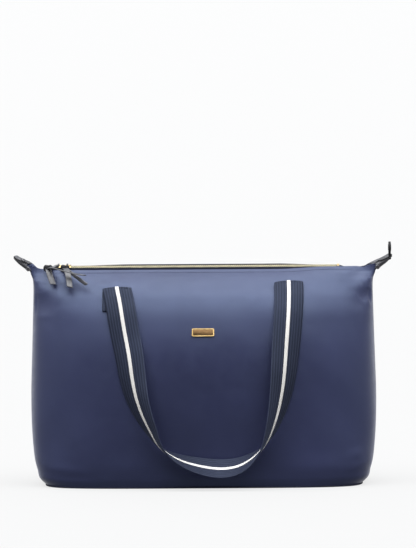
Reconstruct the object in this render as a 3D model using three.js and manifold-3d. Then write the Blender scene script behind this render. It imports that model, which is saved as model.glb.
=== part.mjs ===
// A foldable travel tote: a full, upright nylon bag with a zip top, two webbing handles that hang
// down over the front and the back, leather tabs on the pointed top corners, and a small badge.
// Millimetres, +Z up. +X is the right-hand side seen from the front, and the front faces -Y.
// The origin is the middle of the bag's footprint, on the surface that it stands on.
import * as THREE from "three";
import { mergeVertices } from "three/addons/utils/BufferGeometryUtils.js";
import Module from "manifold-3d";

const wasm = await Module();
wasm.setup();

// Fits shared by all pieces
const clearance = 0.3; // gap between pieces that touch or are sewn together
const facetRoom = 0.5; // how far a flat facet falls inside the curved wall that it stands for
const cutOverrun = 1; // how far a cutting solid runs past what it cuts

// The bag's body
const bodyHalfWidth = 226.6;
const bodyHalfDepth = 77;
const zipHeight = 285;
const fabricThickness = 1.2;
const earRise = 13.5; // how far the ear tips stand above the zip
const zipTiltDegrees = 24; // the zip leans towards the front
const zipTilt = THREE.MathUtils.degToRad(zipTiltDegrees);

// Rows of the body from the base to the zip, as shares: height of the row's middle, half width,
// half depth, rise at the side seam, and the exponent of the row's rounded outline.
const bodyShares = [
  [0, 0.896, 0.91, 0, 4.4],
  [0.035, 0.942, 0.955, 0, 4.3],
  [0.07, 0.964, 0.978, 0, 4.2],
  [0.112, 0.979, 0.994, 0, 4.1],
  [0.175, 0.989, 1, 0, 3.9],
  [0.28, 0.9975, 0.993, 0, 3.7],
  [0.42, 1, 0.961, 0, 3.5],
  [0.545, 0.9955, 0.909, 0, 3.4],
  [0.65, 0.991, 0.838, 0, 3.3],
  [0.737, 0.9877, 0.747, 0, 3.2],
  [0.807, 0.985, 0.649, 0, 3.2],
  [0.863, 0.983, 0.539, 0, 3.2],
  [0.905, 0.982, 0.435, 0, 3.3],
  [0.94, 0.984, 0.338, -0.02, 3.5],
  [0.968, 0.991, 0.24, -0.17, 4.2],
  [0.985, 1.028, 0.165, 0.04, 5.5],
  [0.993, 1.06, 0.13, 0.4, 6.6],
  [1, 1.086, 0.1, 1, 8],
];
const earStartShare = 0.87; // of a row's half width, where it begins to rise towards the ear
const earCurvePower = 1.3;
const pinchShare = 0.55; // how much of the ear's thickness is drawn in at its tip
const pinchStartShares = [0.82, 0.94]; // along the row, and up the body
const tiltStartShare = 0.86; // up the body, where the lean of the zip begins

// The grid of rows and columns that the panels' facets follow
const panelRowShares = [
  0, 0.03, 0.07, 0.12, 0.19, 0.3, 0.44, 0.56, 0.66, 0.75, 0.82, 0.875, 0.92, 0.95, 0.972, 0.985,
  0.993, 1,
];
const panelColumns = 26;
const columnPower = 0.625; // crowds the columns towards the side seams
const surfaceSearchSteps = 44; // halvings in the search for a height on the body
const surfaceStepShare = 0.004; // of the body, over which the surface's direction is taken

// Zip
const toothRowWidth = 2.35;
const toothSlot = 1.5; // between the two rows, where a slider's neck passes
const toothHeight = 2.6;
const teethEndShares = [-0.8959, 0.7767]; // of the body's half width
const [teethLeftX, teethRightX] = teethEndShares.map((share) => share * bodyHalfWidth);
const tapeThickness = 0.8;
const tapeEndShares = [0.915, 0.935]; // of the top row's half width, where the tape runs into the ear
const zipStopLength = 2.8;
const zipStopHeight = 3;

// Sliders
const sliderLength = 10.5;
const sliderWidth = 8.6;
const sliderPlate = 1.2;
const sliderNeckWidth = 0.9;
const sliderNeckLength = 2.4;
const sliderFlange = 0.9;
const bridgeLength = 8;
const bridgeHeight = 3.9;
const bridgeBar = 1.2;
const bridgeWidth = 1.5;
const firstSliderGap = 13.5; // from the left end of the teeth to the left slider's middle
const sliderSpacing = 11.5;
const leftSliderX = teethLeftX + firstSliderGap;
const rightSliderX = leftSliderX + sliderSpacing;

// Pull laces
const laceThickness = 1.2;
const laceWidth = 7.6;
const laceLoopWidth = 3.6;
const laceLoopRoom = 0.4; // between the loop and the bridge's bar
const laceLoopThickness = 1;
const laceSteps = 10;
const laceTailReach = 50; // how far the longest tail reaches from its knot
const narrowTailShare = 0.8; // of the lace's width, for the tails that hang turned
const throatWidthShare = 0.8; // of the loop's width, between the loop and the knot
const throatSteps = 6;
// On the way from the bridge to the knot: shares along the zip and away from it.
const throatShares = [0.15, 0.6];
const throatEndShare = 0.8;
const knotSides = [16, 10];
const knotSize = [6, 3.6, 3.2]; // half length, half depth, half height
const knotForward = 8.2; // from the zip's middle line
const knotAbove = 4.2; // above the zip's plane

// Handles
const webbingWidth = 38;
const webbingThickness = 2;
const stripeWidth = 5.6;
const stripeThickness = 0.4;
const stripeRoom = 0.4; // between the stripe and the webbing, which turns as it hangs
const stripeStart = 6; // how far below the fold the stripe begins
const handleHalfSpacing = 112.4;
const handleFoldHeight = 259.6; // of the middle of the line through both folds
const handleFoldTilt = 3.3; // how far the fold where the handle ends lies above the middle
const handleDrop = 231.7;
const handleRest = 2.6; // the webbing's middle above the panel where it lies flat
const foldRadius = 1.6; // of the webbing's middle, where it folds over
const foldSteps = 7;
const handleSteps = 70;
const webbingColumnShares = [-1, -0.15, 0.15, 1]; // across the webbing
const turnFullDegrees = 131; // how far the webbing has turned at the lowest point of its loop
// The handle's middle line, from the left fold to the right one, as shares: place across over the
// half spacing, drop below the folds over the whole drop, and turn over the full turn.
const handleShares = [
  [-1, 0, 0],
  [-0.968, 0.066, 0],
  [-0.941, 0.137, 0.015],
  [-0.907, 0.231, 0.04],
  [-0.856, 0.354, 0.1],
  [-0.808, 0.503, 0.2],
  [-0.756, 0.609, 0.32],
  [-0.681, 0.704, 0.43],
  [-0.593, 0.79, 0.54],
  [-0.525, 0.85, 0.64],
  [-0.435, 0.897, 0.74],
  [-0.27, 0.945, 0.86],
  [-0.052, 0.98, 0.96],
  [0.21, 1, 1],
  [0.415, 0.986, 0.95],
  [0.598, 0.934, 0.81],
  [0.714, 0.865, 0.65],
  [0.789, 0.785, 0.52],
  [0.863, 0.67, 0.385],
  [0.918, 0.53, 0.25],
  [0.956, 0.353, 0.12],
  [0.99, 0.162, 0.03],
  [1, 0.063, 0],
  [1, 0, 0],
];
const flatLegShares = [0.15, 0.3]; // of the drop, between which the handle comes to lie on the panel

// Handle anchors, sewn flat below the folds, and the squares that back them inside
const anchorLength = 31;
const anchorGrid = 4;
const backingMargin = 4; // of the inside square round the anchor
const backingThickness = 1;

// Seam bindings
const bindingWidth = 9;
const bindingThickness = 0.8;
const bindingRowShares = [0.08, 0.13, 0.2, 0.32, 0.46, 0.6, 0.72, 0.81, 0.88, 0.93, 0.955];
const baseBindingHeight = 7;
const baseOutlinePoints = 56;

// Leather end tabs, folded over the ear tips
const tabThickness = 1.6;
const tabColumns = 4; // of the panel's own columns and rows that the tab covers
const tabRows = 2;
const tabRoom = 1.3; // between the leather and the ear's fabric

// Snap tongue on the right tab, and the stud that it closes on, on the left tab
const tongueLength = 19;
const tongueWidth = 14;
const tongueThickness = 1.6;
const tonguePlaceShare = 0.978; // along the top row's half width
const snapHeight = 11; // of the snap's middle above the tongue's bend
const snapPostRadius = 1.5;
const snapCapRadius = 5;
const snapCapThickness = 1;
const snapSocketRadius = 4;
const snapSocketThickness = 0.8;
const snapStudHeight = 2.2;
const studPlaceShare = 0.955; // along the top row's half width
const snapSides = 20;

// Badge
const badgeWidth = 29;
const badgeHeight = 10.5;
const badgeThickness = 1.6;
const badgeRim = 1.2;
const badgeRecess = 0.5;
const badgeCorner = 1.5;
const badgeZ = 202.5;
const prongRadius = 1;
const prongSpacing = 17;
const prongSides = 12;
const badgeBackingMargin = 2.5; // how much smaller the inside plate is
const badgeCornerSteps = 4;
const badgeBackingThickness = 1;

// Inner pocket on the back panel
const pocketHalfWidth = 76;
const pocketBottomZ = 62;
const pocketMouthZ = 168;
const pocketStandOff = 12.5;
const pocketThickness = 1;
const pocketColumns = 12;
const pocketRows = 7;
const pocketHemHeight = 9;
const pocketHemThickness = 0.8;
// Shares of the pocket, from its sides and from its bottom, over which it comes to stand off.
const pocketSlackShares = [0.33, 0.5];

// Finishes
const finishes = {
  nylon: { color: 0x444a6c, roughness: 0.62, metalness: 0 },
  lining: { color: 0x2b2f47, roughness: 0.8, metalness: 0 },
  webbing: { color: 0x262a40, roughness: 0.85, metalness: 0 },
  stripe: { color: 0xdadce2, roughness: 0.8, metalness: 0 },
  tape: { color: 0x2c304a, roughness: 0.85, metalness: 0 },
  teeth: { color: 0xd9cba6, roughness: 0.35, metalness: 1 },
  slider: { color: 0xcdb98a, roughness: 0.3, metalness: 1 },
  leather: { color: 0x262838, roughness: 0.5, metalness: 0 },
  badge: { color: 0xb99a5b, roughness: 0.35, metalness: 1 },
  snap: { color: 0x17181c, roughness: 0.4, metalness: 0.6 },
};

const up = new THREE.Vector3(0, 0, 1);
const across = new THREE.Vector3(1, 0, 0);
const FRONT = -1;
const BACK = 1;
const smooth = THREE.MathUtils.smoothstep;
const lerp = THREE.MathUtils.lerp;

// A mesh that carries its own finish.
function piece(name, geometry, finish) {
  const mesh = new THREE.Mesh(geometry, new THREE.MeshStandardMaterial(finishes[finish]));
  mesh.name = name;
  return mesh;
}

// The row of shares at one height of the body: width, depth, rise and exponent.
const bodyRow = new THREE.CubicInterpolant(
  bodyShares.map((row) => row[0]),
  bodyShares.flatMap((row) => row.slice(1)),
  bodyShares[0].length - 1,
);

// How far a row has risen towards the ear, as a share, at one place along it.
function earShare(alongShare) {
  const past = Math.max(0, (Math.abs(alongShare) - earStartShare) / (1 - earStartShare));
  return past ** earCurvePower;
}

// How much of its depth the body keeps near the ear tips.
function pinch(alongShare, heightShare) {
  const along = smooth(Math.abs(alongShare), pinchStartShares[0], 1);
  return 1 - pinchShare * along * smooth(heightShare, pinchStartShares[1], 1);
}

// Half depth of the body at one place of a row.
function halfDepthAt(alongShare, heightShare) {
  const [, depth, , exponent] = bodyRow.evaluate(heightShare);
  const outline = (1 - Math.abs(alongShare) ** exponent) ** (1 / exponent);
  return bodyHalfDepth * depth * outline * pinch(alongShare, heightShare);
}

// A point of the body's outer surface: side is FRONT or BACK, alongShare runs from -1 at the
// left seam to 1 at the right one, and heightShare from 0 at the base to 1 at the zip.
function bodyPoint(side, alongShare, heightShare) {
  const lean = smooth(heightShare, tiltStartShare, 1);
  const depth = halfDepthAt(alongShare, heightShare) * (1 - (1 - Math.cos(zipTilt)) * lean);
  const topDepth = halfDepthAt(alongShare, 1);
  const [width, , rise] = bodyRow.evaluate(heightShare);
  return new THREE.Vector3(
    bodyHalfWidth * width * alongShare,
    side * Math.max(depth, clearance / 2),
    zipHeight * heightShare +
      earRise * rise * earShare(alongShare) +
      side * Math.sin(zipTilt) * topDepth * lean,
  );
}

// The point of the body's outer surface at a given place across and height, with its outward
// normal.
function onBody(side, x, z) {
  let low = 0;
  let high = 1;
  const alongAt = (height) =>
    THREE.MathUtils.clamp(x / (bodyHalfWidth * bodyRow.evaluate(height)[0]), -1, 1);
  for (let i = 0; i < surfaceSearchSteps; i++) {
    const middle = (low + high) / 2;
    if (bodyPoint(side, alongAt(middle), middle).z < z) low = middle;
    else high = middle;
  }
  const step = surfaceStepShare;
  const height = THREE.MathUtils.clamp(low, step, 1 - step);
  const along = THREE.MathUtils.clamp(alongAt(height), step - 1, 1 - step);
  const right = bodyPoint(side, along + step, height).sub(bodyPoint(side, along - step, height));
  const upward = bodyPoint(side, along, height + step).sub(bodyPoint(side, along, height - step));
  const normal = right.cross(upward).multiplyScalar(-side).normalize();
  return { point: bodyPoint(side, alongAt(low), low), normal };
}

// Volume that a closed mesh holds; negative when its faces point inwards.
function signedVolume(positions, faces) {
  const [a, b, c] = [new THREE.Vector3(), new THREE.Vector3(), new THREE.Vector3()];
  let volume = 0;
  for (const [i, j, k] of faces) {
    a.copy(positions[i]);
    b.copy(positions[j]);
    c.copy(positions[k]);
    volume += a.dot(b.cross(c)) / 6;
  }
  return volume;
}

// A closed geometry from points and triangles, turned so that its faces point out.
function closedGeometry(positions, faces) {
  const outward = signedVolume(positions, faces) > 0;
  const index = faces.flatMap(([i, j, k]) => (outward ? [i, j, k] : [i, k, j]));
  const geometry = new THREE.BufferGeometry().setFromPoints(positions);
  geometry.setIndex(index);
  geometry.computeVertexNormals();
  return geometry;
}

// A sheet with thickness between two grids of points of the same size.
function shellBetween(outer, inner) {
  const rows = outer.length;
  const columns = outer[0].length;
  const positions = [...outer.flat(), ...inner.flat()];
  const at = (layer, i, j) => layer * rows * columns + i * columns + j;
  const faces = [];
  const quad = (a, b, c, d) => faces.push([a, b, c], [a, c, d]);
  for (let i = 0; i < rows - 1; i++) {
    for (let j = 0; j < columns - 1; j++) {
      quad(at(0, i, j), at(0, i, j + 1), at(0, i + 1, j + 1), at(0, i + 1, j));
      quad(at(1, i, j), at(1, i + 1, j), at(1, i + 1, j + 1), at(1, i, j + 1));
    }
  }
  for (let j = 0; j < columns - 1; j++) {
    quad(at(0, 0, j), at(1, 0, j), at(1, 0, j + 1), at(0, 0, j + 1));
    quad(at(0, rows - 1, j + 1), at(1, rows - 1, j + 1), at(1, rows - 1, j), at(0, rows - 1, j));
  }
  for (let i = 0; i < rows - 1; i++) {
    quad(at(0, i + 1, 0), at(1, i + 1, 0), at(1, i, 0), at(0, i, 0));
    quad(
      at(0, i, columns - 1),
      at(1, i, columns - 1),
      at(1, i + 1, columns - 1),
      at(0, i + 1, columns - 1),
    );
  }
  return closedGeometry(positions, faces);
}

// Outward normals at the points of a grid on one side of the body.
function gridNormals(side, grid) {
  const rows = grid.length;
  const columns = grid[0].length;
  return grid.map((row, i) =>
    row.map((_, j) => {
      const right = row[Math.min(j + 1, columns - 1)].clone().sub(row[Math.max(j - 1, 0)]);
      const upward = grid[Math.min(i + 1, rows - 1)][j].clone().sub(grid[Math.max(i - 1, 0)][j]);
      return right.cross(upward).multiplyScalar(-side).normalize();
    }),
  );
}

// A grid moved along its normals, and kept on its own side of the bag's middle plane.
function offsetGrid(side, grid, normals, distance) {
  return grid.map((row, i) =>
    row.map((point, j) => {
      const moved = point.clone().addScaledVector(normals[i][j], distance);
      moved.y = side * Math.max(side * moved.y, clearance / 2);
      return moved;
    }),
  );
}

// Places along a row, crowded towards the seams.
function columnShares(columns) {
  return Array.from({ length: columns + 1 }, (_, j) => {
    const along = -Math.cos((Math.PI * j) / columns);
    return Math.sign(along) * Math.abs(along) ** columnPower;
  });
}

// The points of a panel's outer surface and its normals there.
function panelGrid(side) {
  const grid = panelRowShares.map((height) =>
    columnShares(panelColumns).map((along) => bodyPoint(side, along, height)),
  );
  const normals = gridNormals(side, grid);
  for (const row of normals) {
    for (const end of [row[0], row[row.length - 1]]) end.setY(0).normalize();
  }
  return { grid, normals };
}

function panelGeometry(side) {
  const { grid, normals } = panelGrid(side);
  return shellBetween(grid, offsetGrid(side, grid, normals, -fabricThickness));
}

// A sheet that lies on the body between two distances from its outer surface. placeAt gives the
// place across and the height for shares from 0 to 1 along both of the sheet's directions, and
// liftAt may bulge it.
function sheetOnBody(side, columns, rows, placeAt, near, far, liftAt = () => 0) {
  const layer = (distance) =>
    Array.from({ length: rows + 1 }, (_, i) =>
      Array.from({ length: columns + 1 }, (_, j) => {
        const [x, z] = placeAt(j / columns, i / rows);
        const { point, normal } = onBody(side, x, z);
        return point.addScaledVector(normal, distance + liftAt(j / columns, i / rows));
      }),
    );
  return shellBetween(layer(far), layer(near));
}

// A solid swept along points: each station has a middle and the two half-axes of its section.
function sweep(stations, columnShares = [-1, 1]) {
  const corners = [
    ...columnShares.map((share) => [share, -1]),
    ...columnShares.toReversed().map((share) => [share, 1]),
  ];
  const positions = stations.flatMap(({ middle, wide, thick }) =>
    corners.map(([w, t]) => middle.clone().addScaledVector(wide, w).addScaledVector(thick, t)),
  );
  const count = corners.length;
  const faces = [];
  for (let i = 0; i < stations.length - 1; i++) {
    for (let k = 0; k < count; k++) {
      const next = (k + 1) % count;
      const [a, b] = [i * count + k, i * count + next];
      faces.push([a, b, b + count], [a, b + count, a + count]);
    }
  }
  const last = (stations.length - 1) * count;
  for (let k = 0; k < columnShares.length - 1; k++) {
    const [a, b, c, d] = [k, k + 1, count - 2 - k, count - 1 - k];
    faces.push([a, c, b], [a, d, c], [last + a, last + b, last + c], [last + a, last + c, last + d]);
  }
  return closedGeometry(positions, faces);
}

// A geometry as a solid for joining and cutting.
function solid(geometry) {
  const bare = geometry.clone();
  bare.deleteAttribute("normal");
  bare.deleteAttribute("uv");
  const merged = mergeVertices(bare);
  return new wasm.Manifold(
    new wasm.Mesh({
      numProp: 3,
      vertProperties: merged.attributes.position.array,
      triVerts: new Uint32Array(merged.index.array),
    }),
  );
}

function geometryOf(made) {
  const mesh = made.getMesh();
  const geometry = new THREE.BufferGeometry();
  geometry.setAttribute("position", new THREE.BufferAttribute(mesh.vertProperties, mesh.numProp));
  geometry.setIndex(new THREE.BufferAttribute(mesh.triVerts, 1));
  geometry.computeVertexNormals();
  return geometry;
}

function joined(...geometries) {
  return geometryOf(geometries.map(solid).reduce((whole, next) => whole.add(next)));
}

function cut(geometry, ...cutters) {
  return geometryOf(cutters.map(solid).reduce((whole, next) => whole.subtract(next), solid(geometry)));
}

function box(width, depth, height, x, y, z) {
  return new THREE.BoxGeometry(width, depth, height).translate(x, y, z);
}

// A round bar along Z from its lower end.
function bar(radius, length, sides) {
  return new THREE.CylinderGeometry(radius, radius, length, sides)
    .rotateX(Math.PI / 2)
    .translate(0, 0, length / 2);
}

// Zip: everything on it is placed in its own leaning frame, x along the zip, y across towards
// the back and z up out of it.
const zipFrame = new THREE.Matrix4()
  .makeTranslation(0, 0, zipHeight)
  .multiply(new THREE.Matrix4().makeRotationX(zipTilt));
const topHalfWidth = bodyHalfWidth * bodyShares[bodyShares.length - 1][1];
const toothInner = toothSlot / 2;
const toothOuter = toothInner + toothRowWidth;

// A point beside the zip's line, which rises with the ears.
function zipPoint(x, y, z, alongShare = x / topHalfWidth) {
  const point = new THREE.Vector3(x, y, z).applyMatrix4(zipFrame);
  point.z += earRise * earShare(alongShare);
  return point;
}

function zipTapeGeometry(side) {
  const leftEnd = teethLeftX - zipStopLength - 2 * clearance;
  const rightEnd = teethRightX + zipStopLength + 2 * clearance;
  const tapeInner = toothOuter + clearance;
  const setback = fabricThickness + clearance; // from the panel's edge
  const stations = [
    [leftEnd, tapeInner],
    [rightEnd, tapeInner],
    [leftEnd - clearance, clearance / 2],
    [rightEnd + clearance, clearance / 2],
  ];
  const [closeShare, endShare] = tapeEndShares;
  for (const share of [earStartShare, closeShare, endShare]) {
    stations.push([-share * topHalfWidth, clearance / 2], [share * topHalfWidth, clearance / 2]);
  }
  stations.sort((a, b) => a[0] - b[0]);
  const layer = (z) =>
    stations.map(([x, inner]) => {
      const outer = halfDepthAt(x / topHalfWidth, 1) - setback;
      return [zipPoint(x, side * inner, z), zipPoint(x, side * outer, z)];
    });
  return shellBetween(layer(tapeThickness / 2), layer(-tapeThickness / 2));
}

function teethGeometry(side) {
  return box(
    teethRightX - teethLeftX,
    toothRowWidth,
    toothHeight,
    (teethRightX + teethLeftX) / 2,
    side * (toothInner + toothRowWidth / 2),
    0,
  ).applyMatrix4(zipFrame);
}

function zipStopGeometry(x, direction) {
  const middle = x + direction * (clearance + zipStopLength / 2);
  return box(zipStopLength, 2 * toothOuter, zipStopHeight, middle, 0, 0).applyMatrix4(zipFrame);
}

// A slider: two plates with flanges over the teeth, a neck between the rows, and a bridge on top.
function sliderGeometry(x, leading) {
  const plateZ = toothHeight / 2 + clearance + sliderPlate / 2;
  const flangeY = sliderWidth / 2 - (sliderWidth / 2 - toothOuter - clearance) / 2;
  const flangeWidth = sliderWidth / 2 - toothOuter - clearance;
  const flangeZ = plateZ - sliderPlate / 2 - sliderFlange / 2;
  const parts = [];
  for (const level of [-1, 1]) {
    parts.push(box(sliderLength, sliderWidth, sliderPlate, 0, 0, level * plateZ));
    for (const side of [FRONT, BACK]) {
      parts.push(
        box(sliderLength, flangeWidth, sliderFlange, 0, side * flangeY, level * flangeZ),
      );
    }
  }
  const neckX = (leading * (sliderLength - sliderNeckLength)) / 2;
  parts.push(box(sliderNeckLength, sliderNeckWidth, 2 * plateZ, neckX, 0, 0));
  const bridgeFoot = plateZ + sliderPlate / 2;
  const legHeight = bridgeHeight + sliderPlate;
  for (const end of [-1, 1]) {
    const legX = (end * (bridgeLength - bridgeBar)) / 2;
    const legZ = bridgeFoot + bridgeHeight - legHeight / 2;
    parts.push(box(bridgeBar, bridgeWidth, legHeight, legX, 0, legZ));
  }
  parts.push(
    box(bridgeLength, bridgeWidth, bridgeBar, 0, 0, bridgeFoot + bridgeHeight - bridgeBar / 2),
  );
  return joined(...parts).translate(x, 0, 0).applyMatrix4(zipFrame);
}

const bridgeBarZ = toothHeight / 2 + clearance + sliderPlate + bridgeHeight - bridgeBar / 2;

// A flat strip through points, with its width along one direction.
function strip(points, widthDirection, width, thickness, steps) {
  const curve = new THREE.CatmullRomCurve3(points);
  const stations = Array.from({ length: steps + 1 }, (_, i) => {
    const tangent = curve.getTangentAt(i / steps);
    const thick = new THREE.Vector3().crossVectors(tangent, widthDirection).normalize();
    const wide = new THREE.Vector3().crossVectors(thick, tangent).normalize();
    return {
      middle: curve.getPointAt(i / steps),
      wide: wide.multiplyScalar(width / 2),
      thick: thick.multiplyScalar(thickness / 2),
    };
  });
  return sweep(stations);
}

// A leather lace: a loop round the slider's bridge, a knot in front of it and two tails.
function laceGeometry(sliderX, knotX, tails) {
  const innerY = bridgeWidth / 2 + laceLoopRoom;
  const innerZ = bridgeBar / 2 + laceLoopRoom;
  const outerY = innerY + laceLoopThickness;
  const outerZ = innerZ + laceLoopThickness;
  const loop = cut(
    box(laceLoopWidth, 2 * outerY, 2 * outerZ, 0, 0, 0),
    box(laceLoopWidth + cutOverrun, 2 * innerY, 2 * innerZ, 0, 0, 0),
  ).translate(sliderX, 0, bridgeBarZ);
  const bridgeTop = bridgeBarZ + innerZ + laceLoopThickness / 2;
  const throatX = lerp(sliderX, knotX, throatShares[0]);
  const throatY = lerp(-innerY, -knotForward, throatShares[1]);
  const throat = strip(
    [
      new THREE.Vector3(sliderX, -innerY - laceLoopThickness / 2, bridgeTop - laceLoopThickness),
      new THREE.Vector3(throatX, throatY, bridgeTop - laceLoopThickness),
      new THREE.Vector3(lerp(sliderX, knotX, throatEndShare), -knotForward, knotAbove),
    ],
    up,
    laceLoopThickness * 2,
    laceLoopWidth * throatWidthShare,
    throatSteps,
  );
  const knot = new THREE.SphereGeometry(1, ...knotSides)
    .scale(...knotSize)
    .translate(knotX, -knotForward, knotAbove);
  const held = joined(loop, throat, knot).applyMatrix4(zipFrame);
  const knotMiddle = new THREE.Vector3(knotX, -knotForward, knotAbove).applyMatrix4(zipFrame);
  const hanging = tails.map(({ shares, width, flat }) => {
    const points = shares.map((share) =>
      new THREE.Vector3(...share).multiplyScalar(laceTailReach).add(knotMiddle),
    );
    return strip(points, flat, width, laceThickness, laceSteps);
  });
  return joined(held, ...hanging);
}

// Handles: both folds turn round one straight line just off the panel, and the webbing's middle line
// follows the panel below it and turns on itself towards the bottom of the loop. The line's height
// is given at a share of the half spacing, which runs from -1 where the handle starts to 1 where it
// ends.
function foldHeightAt(share) {
  return handleFoldHeight + handleFoldTilt * share;
}

// Middle and outward direction of a handle's two folds, and the direction of the line through them.
function foldLine(side) {
  const mirror = -side; // the back handle is the front one turned half round
  const panelAt = (share) => onBody(side, mirror * handleHalfSpacing * share, foldHeightAt(share));
  const reach = (share) => side * panelAt(share).point.y;
  const ends = [-1, 1];
  const level = (share) => lerp(reach(-1), reach(1), (share + 1) / 2);
  const edgeShare = webbingWidth / 2 / handleHalfSpacing;
  const edges = ends.flatMap((end) => [end - edgeShare, end + edgeShare]);
  const bulge = Math.max(0, ...edges.map((share) => reach(share) - level(share)));
  const height = clearance + webbingThickness / 2 + foldRadius;
  const folds = ends.map((end) => {
    const { point, normal } = panelAt(end);
    const slope = new THREE.Vector3(0, normal.y, normal.z).normalize();
    const middle = point.setY(side * (reach(end) + bulge)).addScaledVector(slope, height);
    return { middle, slope };
  });
  const line = folds[1].middle.clone().sub(folds[0].middle).normalize();
  for (const { slope } of folds) slope.addScaledVector(line, -slope.dot(line)).normalize();
  return { folds, line };
}

function handleStations(side) {
  const { folds, line } = foldLine(side);
  const mirror = -side;
  const turnFull = THREE.MathUtils.degToRad(turnFullDegrees);
  const route = new THREE.CatmullRomCurve3(
    handleShares.map(([x, drop, turn]) => new THREE.Vector3(x, drop, turn)),
    false,
    "centripetal",
  );
  const foldLift = clearance + webbingThickness / 2 + 2 * foldRadius;
  const middles = Array.from({ length: handleSteps + 1 }, (_, i) => {
    const share = route.getPoint(i / handleSteps);
    const x = mirror * handleHalfSpacing * share.x;
    const drop = handleDrop * Math.max(share.y, 0);
    const turn = turnFull * THREE.MathUtils.clamp(share.z, 0, 1);
    const { point, normal } = onBody(side, x, foldHeightAt(share.x) - drop);
    const flat = lerp(foldLift, handleRest, smooth(share.y, ...flatLegShares));
    const lift = flat + (webbingWidth / 2) * Math.sin(turn);
    return { middle: point.addScaledVector(normal, lift), normal, drop, turn };
  });
  const stations = middles.map(({ middle, normal, drop, turn }, i) => {
    const next = middles[Math.min(i + 1, handleSteps)].middle;
    const before = middles[Math.max(i - 1, 0)].middle;
    const tangent = next.clone().sub(before).normalize();
    const inward = new THREE.Vector3().crossVectors(normal, tangent).normalize();
    const outward = new THREE.Vector3().crossVectors(tangent, inward);
    const wide = inward.multiplyScalar(Math.cos(turn)).addScaledVector(outward, Math.sin(turn));
    const thick = new THREE.Vector3().crossVectors(tangent, wide).normalize();
    return { middle, wide, thick, drop };
  });
  const arcs = [foldArc(folds[0], line), foldArc(folds[1], line.clone().negate()).reverse()];
  stations[0] = arcs[0][foldSteps];
  stations[handleSteps] = arcs[1][0];
  return { stations, arcs };
}

// The webbing's turn round one fold: it comes up from the anchor at the back of the line and goes
// over it to the front.
function foldArc({ middle, slope }, wide) {
  const down = new THREE.Vector3().crossVectors(slope, wide).normalize();
  if (down.z > 0) down.negate();
  return Array.from({ length: foldSteps + 1 }, (_, i) => {
    const angle = Math.PI * (1 - i / foldSteps);
    const outward = slope.clone().multiplyScalar(Math.cos(angle));
    outward.addScaledVector(down, -Math.sin(angle));
    const turned = middle.clone().addScaledVector(outward, foldRadius);
    return { middle: turned, wide, thick: outward, drop: 0 };
  });
}

// A strip of a given size that runs along the handle, raised off its middle.
function alongHandle(stations, width, thickness, raised, columnShares) {
  return sweep(
    stations.map(({ middle, wide, thick }) => ({
      middle: middle.clone().addScaledVector(thick, raised),
      wide: wide.clone().multiplyScalar(width / 2),
      thick: thick.clone().multiplyScalar(thickness / 2),
    })),
    columnShares,
  );
}

function addHandle(group, side, name) {
  const { stations, arcs } = handleStations(side);
  const whole = [...arcs[0], ...stations.slice(1, -1), ...arcs[1]];
  const webbing = alongHandle(whole, webbingWidth, webbingThickness, 0, webbingColumnShares);
  group.add(piece(`${name}_webbing`, webbing, "webbing"));
  const raised = webbingThickness / 2 + stripeRoom + stripeThickness / 2;
  const behindStart = anchorLength + stripeStart; // the inner face is covered as far as the anchor
  for (const [face, direction, below] of [["outer", 1, stripeStart], ["inner", -1, behindStart]]) {
    const striped = stations.filter(({ drop }) => drop > below);
    const geometry = alongHandle(striped, stripeWidth, stripeThickness, direction * raised);
    group.add(piece(`${name}_${face}_stripe`, geometry, "stripe"));
  }
}

// The sewn-down end of the webbing below one fold, and the square that backs it inside.
function addAnchor(group, side, end, name) {
  const mirror = -side;
  const { slope } = foldLine(side).folds[end * mirror < 0 ? 0 : 1];
  const foldReach = foldRadius + webbingThickness / 2 + clearance;
  const anchorPlace = (margin) => (j, i) => {
    const x = end * handleHalfSpacing + (j - 1 / 2) * (webbingWidth + 2 * margin);
    const foldHeight = foldHeightAt((mirror * x) / handleHalfSpacing);
    const top = foldHeight - foldReach * Math.abs(slope.y);
    return [x, top + margin * i - (1 - i) * (anchorLength * Math.abs(slope.y) + margin)];
  };
  const geometry = sheetOnBody(
    side, anchorGrid, anchorGrid, anchorPlace(0), clearance, clearance + webbingThickness,
  );
  group.add(piece(`${name}_anchor`, geometry, "webbing"));
  const inside = -fabricThickness - clearance - facetRoom;
  const backing = sheetOnBody(
    side, anchorGrid, anchorGrid, anchorPlace(backingMargin), inside - backingThickness, inside,
  );
  group.add(piece(`${name}_backing`, backing, "lining"));
}

// Bindings over the seams inside the bag.
function sideBindingGeometry(end) {
  const layer = (distance) =>
    bindingRowShares.map((height) => {
      const [width, depth, , exponent] = bodyRow.evaluate(height);
      const reach = (bindingWidth / 2 + fabricThickness) / (bodyHalfDepth * depth);
      const along = (1 - reach ** exponent) ** (1 / exponent);
      const inset = fabricThickness + clearance + facetRoom + distance;
      const x = end * (bodyHalfWidth * width * along - inset);
      return [-1, 1].map(
        (edge) => new THREE.Vector3(x, (edge * bindingWidth) / 2, zipHeight * height),
      );
    });
  return shellBetween(layer(0), layer(bindingThickness));
}

// The outline of the body's lowest row, drawn in by a distance.
function baseOutline(inset) {
  const [width, depth, , exponent] = bodyRow.evaluate(0);
  const halfWidth = bodyHalfWidth * width - inset;
  const halfDepth = bodyHalfDepth * depth - inset;
  const points = Array.from({ length: baseOutlinePoints }, (_, i) => {
    const angle = (2 * Math.PI * i) / baseOutlinePoints;
    const round = (value) => Math.sign(value) * Math.abs(value) ** (2 / exponent);
    return new THREE.Vector2(halfWidth * round(Math.cos(angle)), halfDepth * round(Math.sin(angle)));
  });
  return points;
}

function basePanelGeometry() {
  const shape = new THREE.Shape(baseOutline(fabricThickness + clearance + facetRoom));
  return new THREE.ExtrudeGeometry(shape, { depth: fabricThickness, bevelEnabled: false });
}

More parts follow.
